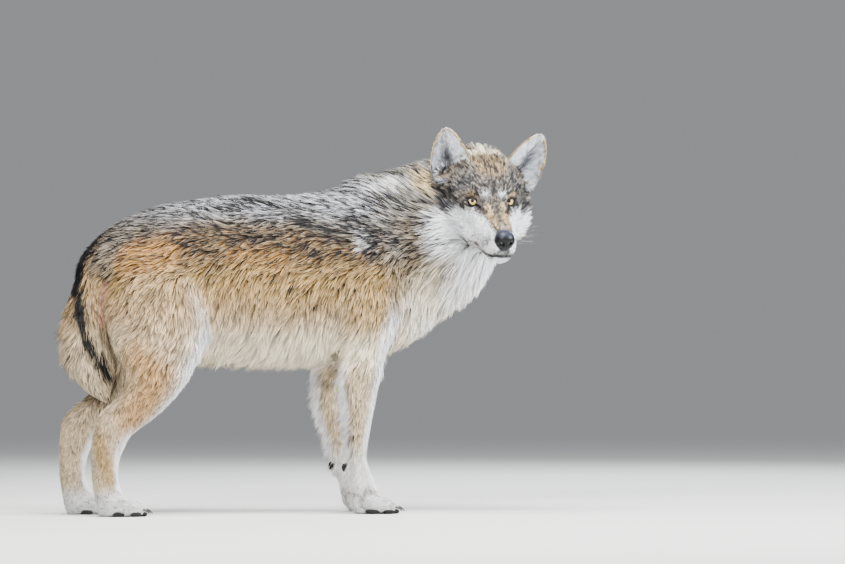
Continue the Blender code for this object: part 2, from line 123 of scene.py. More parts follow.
FLESH = {region.word: region for region in MIDDLE} | {
    f"{side.word}_{region.word}": region for region in Region if region not in MIDDLE for side in Side
}


# ---- numbers on arrays of points


def unit(vectors: Array) -> Array:
    """Vectors brought to length one, row by row."""
    return vectors / np.maximum(np.linalg.norm(vectors, axis=-1, keepdims=True), TINY)


def ramp(values: Array, low: float, high: float) -> Array:
    """A smooth step from 0 at low to 1 at high, which may be below low."""
    t = np.clip((values - low) / (high - low), 0.0, 1.0)
    return t * t * (3 - 2 * t)


def blend(first: Array, second: Array, share: Array) -> Array:
    """A mix of two arrays: the first where a row's share is 0, the second where it is 1."""
    share = np.asarray(share)[..., None] if np.ndim(first) > np.ndim(share) else share
    return first * (1 - share) + second * share


def gathered(faces: Array, values: Array, count: int) -> Array:
    """Face values, one row each, summed at the count points that are the faces' corners."""
    spread = np.repeat(values, 3, axis=0)
    return np.stack([np.bincount(faces.ravel(), spread[:, k], count) for k in range(values.shape[1])], 1)


def spans(points: Array, faces: Array) -> Array:
    """Each triangle's outward direction, as long as twice its area."""
    a, b, c = (points[faces[:, k]] for k in range(3))
    return np.cross(b - a, c - a)


def point_normals(points: Array, faces: Array) -> Array:
    """Outward directions at points, from the triangles around them."""
    return unit(gathered(faces, spans(points, faces), len(points)))


def path_gap(points: Array, path: Array) -> Array:
    """How far points are from a path of straight lines.

    Args:
        points: One place a row.
        path: The path's own places, two or more.
    Returns:
        One distance a point.
    """
    nearest = np.full(len(points), FAR)
    for start, end in zip(path[:-1], path[1:]):
        along = end - start
        t = np.clip((points - start) @ along / max(along @ along, TINY), 0, 1)
        nearest = np.minimum(nearest, np.linalg.norm(points - start - t[:, None] * along, axis=1))
    return nearest


def folded(places: Array) -> Array:
    """Places of both sides laid over each other, on the left."""
    return np.column_stack((places[:, 0], np.abs(places[:, 1]), places[:, 2]))


def among(region: Array, *kinds: Region) -> Array:
    """Where a region is one of some kinds."""
    return np.isin(region, [kind.value for kind in kinds])


def sphere(rings: int, columns: int) -> Array:
    """Points of a ball of radius one, in rings about its first axis.

    Args:
        rings: How many steps there are from pole to pole.
        columns: How many points a ring has.
    Returns:
        One place a row, ring by ring.
    """
    polar = np.pi * np.arange(rings + 1)[:, None] / rings
    turn = 2 * np.pi * np.arange(columns) / columns
    along = np.cos(polar) * np.ones(columns)
    return np.stack((along, np.sin(polar) * np.cos(turn), np.sin(polar) * np.sin(turn)), -1).reshape(-1, 3)


@dataclass
class Web:
    """The edges of a mesh, for evening out values over it."""

    edges: Array
    count: int

    @classmethod
    def of(cls, faces: Array, count: int) -> "Web":
        """The web of a triangle mesh with count points."""
        pairs = np.sort(np.concatenate((faces[:, :2], faces[:, 1:], faces[:, ::2])), axis=1)
        keys = np.unique(pairs[:, 0].astype(np.int64) * count + pairs[:, 1])
        return cls(np.stack((keys // count, keys % count), 1), count)

    def evened(self, values: Array, rounds: int, pull: float | Array = 0.5) -> Array:
        """Values drawn towards their neighbours' mean.

        Args:
            values: One row a point.
            rounds: How many times.
            pull: How far each time, from 0 to 1, for all points or one row a point.
        Returns:
            The evened values.
        """
        start, end = self.edges[:, 0], self.edges[:, 1]
        both = np.concatenate((start, end))
        other = np.concatenate((end, start))
        degree = np.maximum(np.bincount(both, minlength=self.count), 1)[:, None]
        values = values.astype(float)
        for _ in range(rounds):
            total = np.stack([
                np.bincount(both, values[other, k], self.count) for k in range(values.shape[1])
            ], 1)
            values = values + (total / degree - values) * pull
        return values


@dataclass(frozen=True)
class Grain:
    """Smooth random values through space, the same on every run."""

    size: float
    seed: int
    cells: int = 24

    def at(self, points: Array) -> Array:
        """Values from 0 to 1, that change over about size metres.

        Args:
            points: One place a row.
        Returns:
            One number a place.
        """
        lattice = np.random.default_rng(self.seed).random((self.cells,) * 3)
        scaled = points / self.size
        low = np.floor(scaled).astype(int)
        t = scaled - low
        t = t * t * (3 - 2 * t)
        total = np.zeros(len(points))
        for corner in np.ndindex(2, 2, 2):
            share = np.prod(np.where(corner, t, 1 - t), axis=1)
            x, y, z = ((low + corner) % self.cells).T
            total += share * lattice[x, y, z]
        return total


@dataclass(frozen=True)
class HeadAxes:
    """The turned head's own axes: forward, left and up, from between the eyes."""

    yaw: float = math.radians(-90)
    pitch: float = math.radians(-23)
    eyes_at: tuple = (0.519, -0.160, 0.676)
    swing: float = 0.065  # how far the muzzle leans to the left for each metre ahead of the eyes

    def turn(self) -> Array:
        """Rows are the head's forward, left and up."""
        forward = np.array((
            math.cos(self.yaw) * math.cos(self.pitch),
            math.sin(self.yaw) * math.cos(self.pitch),
            math.sin(self.pitch),
        ))
        left = np.array((-math.sin(self.yaw), math.cos(self.yaw), 0.0))
        return np.array((forward, left, np.cross(forward, left)))

    def origin(self) -> Array:
        """Between the eyes, in the frame."""
        return np.array(self.eyes_at) + SHIFT

    def read(self, points: Array) -> Array:
        """Points of the frame as forward, left and up of the head."""
        return (points - self.origin()) @ self.turn().T

    def evened(self, points: Array) -> Array:
        """Points in the head's axes, with the muzzle's lean taken out so that its halves match."""
        head = self.read(points)
        head[:, 1] -= self.swing * np.maximum(head[:, 0], 0)
        return head

    def place(self, places: Sequence) -> Array:
        """Places given as forward, left and up of the head, in the frame."""
        return np.asarray(places, float) @ self.turn() + self.origin()

    def aim(self, directions: Sequence) -> Array:
        """Directions given as forward, left and up of the head, in the frame."""
        return unit(np.asarray(directions, float) @ self.turn())


HEAD = HeadAxes()
GAZE = unit(np.array((-0.2756, -0.9613, 0.20)))  # where both eyes look


# ---- shader expressions


@dataclass
class Value:
    """A number's socket in a node tree, that Python's operators work on."""

    tree: "Tree"
    socket: NodeSocket

    def _made(self, operation: str, *values: object) -> "Value":
        """A Math node on these values, in order."""
        made = self.tree.node("ShaderNodeMath", {"operation": operation}, dict(enumerate(values)))
        return Value(self.tree, made.outputs[0])

    def __add__(self, other: object) -> "Value":
        """This plus another value or number."""
        return self._made("ADD", self, other)

    def __sub__(self, other: object) -> "Value":
        """This less another value or number."""
        return self._made("SUBTRACT", self, other)

    def __rsub__(self, other: object) -> "Value":
        """A number less this."""
        return self._made("SUBTRACT", other, self)

    def __mul__(self, other: object) -> "Value":
        """This times another value or number."""
        return self._made("MULTIPLY", self, other)

    __radd__ = __add__
    __rmul__ = __mul__

    def step(self, low: float, high: float) -> "Value":
        """A smooth step from 0 at low to 1 at high."""
        made = self.tree.node(
            "ShaderNodeMapRange", {"interpolation_type": "SMOOTHSTEP"},
            {"Value": self, "From Min": low, "From Max": high},
        )
        return Value(self.tree, made.outputs[0])


def add_node(
    tree: NodeTree, kind: str, settings: dict | None = None, values: dict | None = None
) -> Node:
    """One node in a material's or a modifier's tree.

    Args:
        tree: The tree.
        kind: The node's type.
        settings: Its properties, which are set first.
        values: What its input sockets take, by name or number: a Value, a socket or a plain setting.
    Returns:
        The node.
    """
    made = tree.nodes.new(kind)
    for key, setting in (settings or {}).items():
        setattr(made, key, setting)
    for key, value in (values or {}).items():
        socket = made.inputs[key]
        if isinstance(value, Value):
            value = value.socket
        if isinstance(value, NodeSocket):
            tree.links.new(value, socket)
        else:
            socket.default_value = value
    return made


class Tree:
    """A material's node tree, made node by node."""

    def __init__(self, name: str) -> None:
        """Starts a material with an empty tree and its output.

        Args:
            name: The material's name.
        """
        self.material = bpy.data.materials.new(name)
        self.material.use_nodes = True
        nodes = self.material.node_tree.nodes
        nodes.clear()
        self.output = nodes.new("ShaderNodeOutputMaterial")

    def node(self, kind: str, settings: dict | None = None, values: dict | None = None) -> Node:
        """One node of this tree, as add_node makes it."""
        return add_node(self.material.node_tree, kind, settings, values)

    def place(self) -> NodeSocket:
        """Object coordinates."""
        return self.node("ShaderNodeTexCoord").outputs["Object"]

    def channels(self, name: str) -> tuple[Value, ...]:
        """The red, green and blue of a colour attribute."""
        colour = self.node("ShaderNodeAttribute", {"attribute_name": name}).outputs["Color"]
        parts = self.node("ShaderNodeSeparateColor", None, {"Color": colour}).outputs
        return tuple(Value(self, part) for part in parts)

    def number(self, kind: str, settings: dict | None, values: dict | None, out: str) -> Value:
        """The number that a node gives by one of its outputs."""
        return Value(self, self.node(kind, settings, values).outputs[out])

    def mix(self, first: object, second: object, share: object, how: str = "MIX") -> NodeSocket:
        """A mix of two colours.

        Args:
            first: The colour that share 0 gives.
            second: The colour that share 1 gives.
            share: A number or a Value.
            how: The Mix node's blend type.
        Returns:
            The mixed colour's socket.
        """
        settings = {"data_type": "RGBA", "blend_type": how}
        return self.node("ShaderNodeMix", settings, {0: share, 6: first, 7: second}).outputs[2]

    def noise(self, scale: float, detail: float = 2.0, vector: object = None) -> Value:
        """Noise over Object coordinates, or over another vector."""
        values = {"Vector": vector or self.place(), "Scale": scale, "Detail": detail}
        return self.number("ShaderNodeTexNoise", None, values, "Fac")

    def bump(self, height: Value, distance: float, strength: float = 1.0) -> NodeSocket:
        """A Bump node's normal from a height in shares of distance metres."""
        values = {"Height": height, "Distance": distance, "Strength": strength}
        return self.node("ShaderNodeBump", None, values).outputs[0]

    def surface(self, values: dict) -> Material:
        """Ends the tree in a Principled shader that takes these values."""
        made = self.node("ShaderNodeBsdfPrincipled", None, values)
        self.material.node_tree.links.new(made.outputs[0], self.output.inputs[0])
        return self.material


def tone(red: int, green: int, blue: int) -> tuple[float, float, float]:
    """A pigment from its everyday 0 to 255 values, as the renderer's linear colour."""
    shares = [c / 255 for c in (red, green, blue)]
    return tuple(c / 12.92 if c <= 0.04045 else ((c + 0.055) / 1.055) ** 2.4 for c in shares)


class Pigment(Enum):
    """The coat's and skin's colours."""

    WHITE = tone(240, 244, 250)
    IVORY = tone(229, 216, 189)
    ICE = tone(206, 212, 224)
    SILVER = tone(160, 164, 172)
    GREY = tone(115, 113, 110)
    FAWN = tone(98, 88, 77)
    SLATE = tone(58, 62, 72)
    CREAM = tone(171, 142, 103)
    BUFF = tone(159, 126, 70)
    ORANGE = tone(162, 108, 24)
    RUST = tone(94, 66, 26)
    BROWN = tone(73, 55, 36)
    GOLD = tone(246, 212, 146)
    BLACK = tone(19, 18, 20)
    ROSE = tone(182, 124, 108)

    @property
    def light(self) -> Array:
        """The pigment as an array."""
        return np.array(self.value)


# ---- markings


@dataclass(frozen=True)
class Ear:
    """Where an ear stands, how it is held and which way it opens, in the head's axes."""

    base: tuple
    tip: tuple
    looks: tuple
    half_width: float = 0.024

    def read(self, points: Array, normals: Array) -> Array:
        """Places on the ear.

        Args:
            points: Points in the frame.
            normals: The outward direction at each.
        Returns:
            How squarely each faces the ear's opening, its share of the way to the tip, and how far it lies
            towards the outer edge, from -1 to 1.
        """
        base, tip = HEAD.place(self.base), HEAD.place(self.tip)
        axis = unit(tip - base)
        looks = HEAD.aim(self.looks)
        outer = unit(np.cross(axis, looks))
        outer = outer * np.sign(outer @ HEAD.aim((0.0, self.base[1], 0.0)))
        away = points - base
        along = away @ axis / np.linalg.norm(tip - base)
        return np.column_stack((normals @ looks, along, away @ outer / self.half_width))


EARS = {
    Side.RIGHT: Ear((-0.070, -0.0755, 0.046), (-0.080, -0.0955, 0.142), (0.92, -0.38, 0.05)),
    Side.LEFT: Ear((-0.076, 0.0865, 0.0325), (-0.078, 0.1225, 0.1300), (0.93, 0.30, 0.10), 0.027),
}


def on_ears(points: Array, normals: Array) -> Array:
    """The reading of the nearer ear at each point."""
    left = (HEAD.read(points)[:, 1] > 0)[:, None]
    return np.where(left, EARS[Side.LEFT].read(points, normals), EARS[Side.RIGHT].read(points, normals))


@dataclass(frozen=True)
class Patch:
    """A soft-edged run of one pigment, along a line of places and mirrored to the other side."""

    pigment: Pigment
    places: tuple  # (x, y, z) of the body, or forward, left, up of the head
    reach: float  # how far from its line it goes
    strength: float
    ticks: float  # its share of black tips
    edge: float = 0.35  # the share of its reach that has its full strength
    on_ears: bool = True

    def share(self, points: Array) -> Array:
        """How much points take of the pigment, from 0 to its strength, on both sides alike."""
        gap = path_gap(folded(points), folded(np.array(self.places, float)))
        return self.strength * ramp(gap, self.reach, self.reach * self.edge)


class Markings:
    """The colours of the coat, and how many of its tufts have black tips."""

    body_patches = (
        Patch(Pigment.SILVER, ((0.096, 0.019, 0.693), (0.165, 0.053, 0.689), (0.216, 0.074, 0.68)), 0.05,
              0.8, 0.42),
        Patch(Pigment.WHITE, ((0.284, 0.05, 0.705), (0.33, 0.05, 0.726)), 0.035, 0.6, 0.3),
        Patch(Pigment.RUST, ((-0.12, 0.112, 0.6), (0.0, 0.116, 0.59), (0.14, 0.118, 0.58)), 0.07, 0.8,
              0.48),
        Patch(Pigment.BROWN, ((-0.03, 0.11, 0.583), (0.035, 0.112, 0.594)), 0.032, 0.45, 0.6),
        Patch(Pigment.ORANGE, ((-0.03, 0.118, 0.555), (0.05, 0.12, 0.545)), 0.04, 0.55, 0.28),
        Patch(Pigment.BUFF, ((-0.02, 0.118, 0.51), (0.16, 0.12, 0.49)), 0.07, 0.6, 0.16),
        Patch(Pigment.CREAM, ((-0.22, 0.115, 0.48), (-0.16, 0.12, 0.42)), 0.1, 0.6, 0.08),
        Patch(Pigment.ORANGE, ((-0.265, 0.1, 0.555), (-0.195, 0.11, 0.565)), 0.06, 0.7, 0.14),
        Patch(Pigment.GREY, ((-0.3, 0.06, 0.6), (-0.325, 0.06, 0.53)), 0.045, 0.55, 0.45),
        Patch(Pigment.ORANGE, ((-0.258, 0.11, 0.215), (-0.236, 0.114, 0.258), (-0.215, 0.12, 0.3),
              (-0.258, 0.114, 0.334)), 0.078, 0.74, 0.1, edge=0.05),
        Patch(Pigment.SLATE, ((0.0, 0.03, 0.691), (0.05, 0.061, 0.676), (0.089, 0.083, 0.657),
              (0.137, 0.103, 0.628), (0.183, 0.116, 0.6)), 0.02, 0.6, 0.8),
        Patch(Pigment.SLATE, ((0.22, 0.099, 0.646), (0.224, 0.108, 0.624), (0.226, 0.114, 0.602)), 0.014,
              0.8, 0.8),
        Patch(Pigment.WHITE, ((0.238, 0.11, 0.615), (0.239, 0.117, 0.594), (0.241, 0.121, 0.574)), 0.011,
              0.6, 0.15),
        Patch(Pigment.SLATE, ((0.252, 0.1, 0.636), (0.258, 0.109, 0.611), (0.262, 0.115, 0.585),
              (0.268, 0.118, 0.555)), 0.016, 0.9, 0.95),
        Patch(Pigment.GREY, ((0.31, 0.099, 0.648), (0.319, 0.107, 0.594), (0.331, 0.103, 0.54)), 0.048,
              0.6, 0.42),
        Patch(Pigment.FAWN, ((0.385, 0.11, 0.665), (0.36, 0.11, 0.62), (0.36, 0.115, 0.55)), 0.042, 0.8,
              0.45),
        Patch(Pigment.RUST, ((0.345, 0.1, 0.62), (0.36, 0.1, 0.55)), 0.034, 0.5, 0.35),
        Patch(Pigment.BUFF, ((0.33, 0.1, 0.5), (0.25, 0.11, 0.42)), 0.06, 0.6, 0.1),
        Patch(Pigment.BUFF, ((-0.31, 0.1, 0.08), (-0.355, 0.1, 0.2)), 0.024, 0.8, 0.05),
        Patch(Pigment.BUFF, ((0.205, 0.1, 0.3), (0.215, 0.1, 0.16)), 0.02, 0.7, 0.05),
        Patch(Pigment.ROSE, ((-0.32, 0.063, 0.49), (-0.312, 0.045, 0.442), (-0.311, 0.034, 0.41)), 0.014,
              0.8, 0.12),
        Patch(Pigment.SLATE, ((0.221, 0.077, 0.15), (0.227, 0.087, 0.166)), 0.01, 0.5, 0.5),
        Patch(Pigment.BLACK, ((-0.27, 0.0, 0.65), (-0.318, 0.0, 0.618)), 0.022, 0.8, 0.9),
        Patch(Pigment.BLACK, ((-0.318, 0.0, 0.615), (-0.355, 0.004, 0.565), (-0.373, 0.004, 0.5)), 0.031,
              1.0, 1.0, edge=0.55),
        Patch(Pigment.BLACK, ((-0.37, 0.006, 0.5), (-0.367, 0.033, 0.449), (-0.361, 0.04, 0.407)), 0.018,
              1.0, 1.0, edge=0.5),
        Patch(Pigment.BLACK, ((-0.367, 0.033, 0.449), (-0.361, 0.04, 0.407), (-0.339, 0.038, 0.355),
              (-0.302, 0.019, 0.306), (-0.29, 0.012, 0.29)), 0.0115, 1.0, 1.0, edge=0.5),
    )
    head_patches = (
        Patch(Pigment.BUFF, ((-0.075, 0.008, 0.088), (-0.058, 0.016, 0.084), (-0.03, 0.01, 0.072)), 0.036,
              0.6, 0.42),
        Patch(Pigment.GREY, ((-0.016, 0.05, 0.05), (-0.034, 0.076, 0.028), (-0.052, 0.104, -0.008)), 0.03,
              0.6, 0.48),
        Patch(Pigment.WHITE, ((0.03, 0.05, -0.045), (0.0, 0.075, -0.048), (-0.035, 0.105, -0.065)), 0.044,
              0.97, 0.02, edge=0.6),
        Patch(Pigment.WHITE, ((0.03, 0.045, -0.045), (0.1, 0.03, -0.06)), 0.036, 0.95, 0.05, edge=0.5),
        Patch(Pigment.WHITE, ((-0.03, 0.11, -0.07), (0.0, 0.1, -0.11)), 0.045, 0.9, 0.05),
        Patch(Pigment.GOLD, ((0.035, 0.018, 0.002), (0.06, 0.014, -0.012), (0.084, 0.008, -0.022)), 0.016,
              0.4, 0.22, edge=0.3),
        Patch(Pigment.ORANGE, ((0.04, 0.024, -0.006), (0.056, 0.018, -0.013)), 0.01, 0.5, 0.05, edge=0.2),
        Patch(Pigment.FAWN, ((0.026, 0.0, 0.014), (0.05, 0.0, -0.002), (0.08, 0.0, -0.017)), 0.014, 0.8,
              0.45, edge=0.2),
        Patch(Pigment.WHITE, ((0.05, 0.034, -0.022), (0.08, 0.026, -0.034), (0.098, 0.018, -0.04)), 0.014,
              0.9, 0.05, edge=0.4),
        Patch(Pigment.ICE, ((0.088, 0.0, -0.019), (0.1, 0.0, -0.025)), 0.01, 0.5, 0.1),
        Patch(Pigment.ROSE, ((0.092, 0.0, -0.021), (0.1, 0.0, -0.025)), 0.008, 0.3, 0.0),
        Patch(Pigment.BUFF, ((0.003, 0.054, 0.022), (0.013, 0.039, 0.022)), 0.012, 0.6, 0.15, edge=0.2),
        Patch(Pigment.WHITE, ((0.018, 0.014, 0.029), (0.015, 0.025, 0.028)), 0.011, 0.6, 0.08, edge=0.1),
        Patch(Pigment.BLACK, ((0.018, 0.0, 0.032), (0.002, 0.0, 0.05)), 0.006, 0.7, 0.8, edge=0.3),
        Patch(Pigment.SLATE, ((-0.02, 0.053, 0.044), (-0.025, 0.072, 0.026), (-0.042, 0.09, 0.008),
              (-0.046, 0.103, -0.015), (-0.03, 0.096, -0.023)), 0.015, 0.9, 0.6, edge=0.4),
        Patch(Pigment.SLATE, ((-0.032, 0.097, -0.019), (-0.018, 0.08, -0.003)), 0.012, 0.75, 0.75,
              edge=0.3),
        Patch(Pigment.GREY, ((0.022, 0.053, -0.017), (0.016, 0.058, -0.015)), 0.01, 0.5, 0.4, edge=0.1),
        Patch(Pigment.GREY, ((0.096, 0.031, -0.05), (0.076, 0.038, -0.066)), 0.015, 0.4, 0.5, edge=0.1),
        Patch(Pigment.SLATE, ((0.114, 0.01, -0.072), (0.1, 0.025, -0.08)), 0.009, 0.4, 0.5, edge=0.2),
        Patch(Pigment.IVORY, ((-0.138, 0.0, 0.078), (-0.11, 0.0, 0.088), (-0.095, 0.028, 0.083)), 0.024,
              0.8, 0.14),
        Patch(Pigment.BROWN, ((-0.066, 0.015, 0.086), (-0.038, 0.009, 0.078), (-0.02, 0.015, 0.069)),
              0.0065, 0.8, 0.85, edge=0.3),
        Patch(Pigment.GOLD, ((-0.122, 0.126, 0.027), (-0.101, 0.134, 0.014), (-0.084, 0.128, 0.003)),
              0.021, 0.8, 0.1, edge=0.4, on_ears=False),
        Patch(Pigment.BLACK, ((-0.092, 0.088, 0.034), (-0.078, 0.101, 0.024), (-0.07, 0.108, 0.006)),
              0.011, 0.75, 0.7, edge=0.2, on_ears=False),
        Patch(Pigment.RUST, ((0.015, 0.1, -0.16), (0.02, 0.08, -0.19)), 0.032, 0.5, 0.4),
        Patch(Pigment.WHITE, ((0.102, 0.0, -0.098), (0.085, 0.0, -0.1), (0.03, 0.0, -0.115)), 0.03, 0.95,
              0.0),
        Patch(Pigment.BLACK, ((0.029, 0.036, 0.003), (0.043, 0.024, -0.006)), 0.0062, 1.0, 0.3, edge=0.5),
        Patch(Pigment.BLACK, ((0.012, 0.054, 0.006), (0.002, 0.063, 0.012)), 0.0062, 1.0, 0.3, edge=0.5),
    )
    mottle = Grain(0.022, 5)
    fine_mottle = Grain(0.008, 11)

    def base(self, body: Array, region: Array) -> tuple[Array, Array]:
        """The coat before its patches: silver back, tawny sides, pale belly and legs.

        Args:
            body: Points in the animal's own coordinates.
            region: Each point's region number.
        Returns:
            The pigments and the share of black tips.
        """
        height = body[:, 2] + (self.mottle.at(body) - 0.5) * 0.03
        sides = ((0.36, Pigment.IVORY, 0.0), (0.42, Pigment.CREAM, 0.02), (0.50, Pigment.BUFF, 0.09),
                 (0.565, Pigment.RUST, 0.34), (0.62, Pigment.FAWN, 0.45), (0.665, Pigment.SILVER, 0.60))
        steps = [s[0] for s in sides]
        ground = np.stack([np.interp(height, steps, [s[1].light[k] for s in sides]) for k in range(3)], 1)
        ticks = np.interp(height, steps, [s[2] for s in sides])

        def lay(where: Array, pigment: Pigment, share: float, ticked: float) -> None:
            """Lays one pigment over some of the points."""
            ground[where] = blend(ground[where], pigment.light, share)
            ticks[where] = ticked

        lay(among(region, Region.SHANK, Region.HOCK, Region.FOREARM), Pigment.CREAM, 0.65, 0.07)
        lay(among(region, Region.HIND_PAW, Region.FORE_PAW), Pigment.ICE, 0.70, 0.10)
        lay(among(region, Region.HEAD), Pigment.FAWN, 0.85, 0.50)
        lay(among(region, Region.EAR), Pigment.BUFF, 0.8, 0.25)
        lay(among(region, Region.TAIL), Pigment.CREAM, 0.60, 0.12)
        neck = among(region, Region.NECK)
        high = ramp(height, 0.50, 0.60)
        ground[neck] = Pigment.IVORY.light
        ground[neck] = blend(ground[neck], Pigment.GREY.light, high[neck])
        ticks[neck] = 0.08 + 0.34 * high[neck]
        thigh = among(region, Region.THIGH)
        ground[thigh] = blend(ground[thigh], Pigment.CREAM.light, 0.45)
        ticks[thigh] *= 0.5
        return ground, ticks

    def read(
        self, points: Array, normals: Array, region: Array, web: Web
    ) -> tuple[Array, Array]:
        """The markings at points of the skin.

        Args:
            points: Points in the frame.
            normals: The outward direction at each.
            region: Each point's region number.
            web: The skin's edges, over which the regions' colours run into each other.
        Returns:
            The pigments and the share of black tips, one row a point.
        """
        body, head = points - SHIFT, HEAD.evened(points)
        ground, ticks = self.base(body, region)
        both = web.evened(np.column_stack((ground, ticks)), 30, 0.6)
        ground, ticks = both[:, :3], both[:, 3]

        def lay(pigment: Pigment, share: Array) -> None:
            """Lays a pigment over the ground."""
            nonlocal ground
            ground = blend(ground, pigment.light, share)

        limbs = among(region, Region.THIGH, Region.SHANK, Region.HOCK, Region.FOREARM)
        chest = among(region, Region.NECK, Region.TRUNK) * ramp(body[:, 2], 0.66, 0.58)
        ahead = limbs * ramp(normals[:, 0], 0.15, 0.7) + chest * ramp(normals[:, 0], 0.2, 0.75)
        behind, low = ramp(normals[:, 0], -0.6, -0.95), ramp(body[:, 2], 0.17, 0.08) * 0.8
        ahead = np.maximum(ahead, among(region, Region.FOREARM) * np.maximum(behind, low))
        lay(Pigment.WHITE, ahead * 0.85)
        ticks = ticks * (1 - 0.8 * ahead)
        throat = ramp(head[:, 2], -0.05, -0.13) * ramp(np.abs(head[:, 1]), 0.13, 0.06)
        throat = throat * ramp(body[:, 1], -0.02, -0.08) * ramp(body[:, 0], 0.38, 0.46)
        lay(Pigment.WHITE, throat * 0.85)
        ticks = ticks * (1 - 0.9 * throat)
        near_head = ramp(np.linalg.norm(head, axis=1), 0.30, 0.22)
        for patches, places, near in ((self.body_patches, body, 1.0), (self.head_patches, head, near_head)):
            for patch in patches:
                share = patch.share(places) * near
                if not patch.on_ears:
                    share = share * ~among(region, Region.EAR)
                lay(patch.pigment, share)
                ticks = blend(ticks, patch.ticks, share)
        ear = among(region, Region.EAR).astype(float)
        front, along, outer = on_ears(points, normals).T
        inside = ear * ramp(front, 0.15, 0.55)
        rim = inside * ramp(along, 0.06, 0.16) * web.evened((ear * (front < 0.0))[:, None], 8, 0.7)[:, 0]
        edge = ear * ramp(front, 0.45, 0.05) * ramp(front, -0.6, -0.1) * ramp(along, 0.10, 0.25)
        lay(Pigment.GOLD, edge * 0.8)
        lay(Pigment.ICE, inside * 0.95)
        lay(Pigment.WHITE, inside * ramp(outer, 0.3, -0.2) * 0.7)
        lay(Pigment.BROWN, ramp(rim, 0.005, 0.03) * 0.6)
        lay(Pigment.GOLD, ramp(rim, 0.04, 0.10) * 0.95)
        ticks = blend(ticks, 0.10, inside)
        streaks = 0.5 + self.fine_mottle.at(points * np.array((1.0, 1.0, 0.5)))
        # painted shade in the ear's hollow: slate towards the canal, broken into streaks
        hollow_shade = np.exp(-((outer - 0.30) / 0.45) ** 2 - ((along - 0.28) / 0.30) ** 2)
        hollow_shade = np.clip(hollow_shade * streaks * inside, 0, 0.95)
        lay(Pigment.SLATE, hollow_shade)
        ticks = blend(ticks, 0.3, hollow_shade)
        lay(Pigment.WHITE, ear * ramp(along, 0.84, 1.02) * 0.85)
        for side in Side:
            eye = Eye(side)
            away = points - eye.centre()
            rim = ramp(eye.ring_share(away), 2.4, 1.9) * (np.linalg.norm(away, axis=1) < eye.dark_reach)
            lay(Pigment.BLACK, rim)
            ticks = blend(ticks, 0.1, rim)
        return ground * (0.90 + 0.20 * self.fine_mottle.at(points))[:, None], ticks


# ---- skin


@dataclass
class Surface:
    """The finished skin as arrays, for what grows on it."""

    points: Array
    faces: Array
    normals: Array
    flow: Array
    depth: Array
    length: Array
    width: Array
    spacing: Array
    region: Array
    ground: Array
    ticks: Array
    bake_uv: Array | None = None  # each corner's place on the baking map, once the skin is unwrapped


class Lie:
    """Which way the coat lies, region by region."""

    nose_tip = (0.125, 0.008, -0.045)
    tuft_at = (-0.112, 0.004, 0.086)  # the middle of the upright tuft on the crown
    tail_line = ((0.306, 0.355, 0.407, 0.449, 0.501), (-0.302, -0.339, -0.361, -0.367, -0.370))  # up, and x

    def at(self, points: Array, normals: Array, region: Array) -> Array:
        """The lie at points, before it is laid on the skin.

        Args:
            points: Points in the frame.
            normals: The outward direction at each.
            region: Each point's region number.
        Returns:
            One direction a point.
        """
        def straight(ahead: float, up: float) -> Array:
            """One direction for all points."""
            return np.broadcast_to(unit(np.array((ahead, 0.0, up))), points.shape)

        body = points - SHIFT
        from_nose = unit(points - HEAD.place(self.nose_tip))
        down = np.array((0.0, 0.0, -1.0))
        low = ramp(body[:, 2], 0.64, 0.44)
        trunk = unit(np.array((-1.0, 0.0, -0.10)) + low[:, None] * np.array((0.60, 0.0, -0.95)))
        lower_neck = ramp(body[:, 2], 0.70, 0.42)
        neck = unit(from_nose * 0.7 + np.array((-0.5, 0, -0.15)) + lower_neck[:, None] * down * 0.9)
        head = from_nose + self.tuft(points)[:, None] * HEAD.aim((0.0, 0.0, 1.0)) * 1.6
        off_line = np.interp(body[:, 2], *self.tail_line) - body[:, 0]
        fall = np.interp(body[:, 2], (0.30, 0.36, 0.42, 0.48), (0.75, 0.45, 0.15, -0.10))
        fall = fall - 0.6 * ramp(off_line, 0.0, 0.03)
        tail = np.column_stack((fall, np.zeros(len(body)), np.full(len(body), -1.0)))
        low_thigh = ramp(body[:, 2], 0.56, 0.38)[:, None]
        flows = {
            Region.HEAD: unit(head),
            Region.NECK: neck,
            Region.TRUNK: trunk,
            Region.TAIL: unit(tail),
            Region.EAR: self.ear_lie(points, normals),
            Region.THIGH: unit(np.array((-1.0, 0.0, -0.35)) + low_thigh * (0.5, 0, -0.75)),
            Region.SHANK: straight(-0.45, -1.0),
            Region.HOCK: straight(-0.05, -1.0),
            Region.HIND_PAW: straight(0.9, -0.5),
            Region.FOREARM: straight(-0.15, -1.0),
            Region.FORE_PAW: straight(0.9, -0.5),
        }
        out = np.zeros(points.shape)
        for kind, flow in flows.items():
            here = among(region, kind)
            out[here] = flow[here]
        return out

    def tuft(self, points: Array) -> Array:
        """How far each point belongs to the upright tuft on the crown."""
        return ramp(np.linalg.norm(HEAD.read(points) - np.array(self.tuft_at), axis=1), 0.040, 0.018)

    @staticmethod
    def ear_lie(points: Array, normals: Array) -> Array:
        """Up each ear's back towards its tip, and spreading from the canal inside it."""
        left = (HEAD.read(points)[:, 1] > 0)[:, None]
        up, out = (
            np.where(left, *(aims(EARS[side]) for side in (Side.LEFT, Side.RIGHT)))
            for aims in (
                lambda ear: unit(HEAD.place(ear.tip) - HEAD.place(ear.base)),
                lambda ear: HEAD.aim((0.0, ear.base[1], 0.0)),
            )
        )
        front, along, outer = on_ears(points, normals).T
        inside = ramp(front, 0.1, 0.5)[:, None]
        spread = up * (along - 0.05)[:, None] * 3.0 + out * (outer - 0.45)[:, None]
        return unit(up * (1 - inside) + unit(spread) * inside)


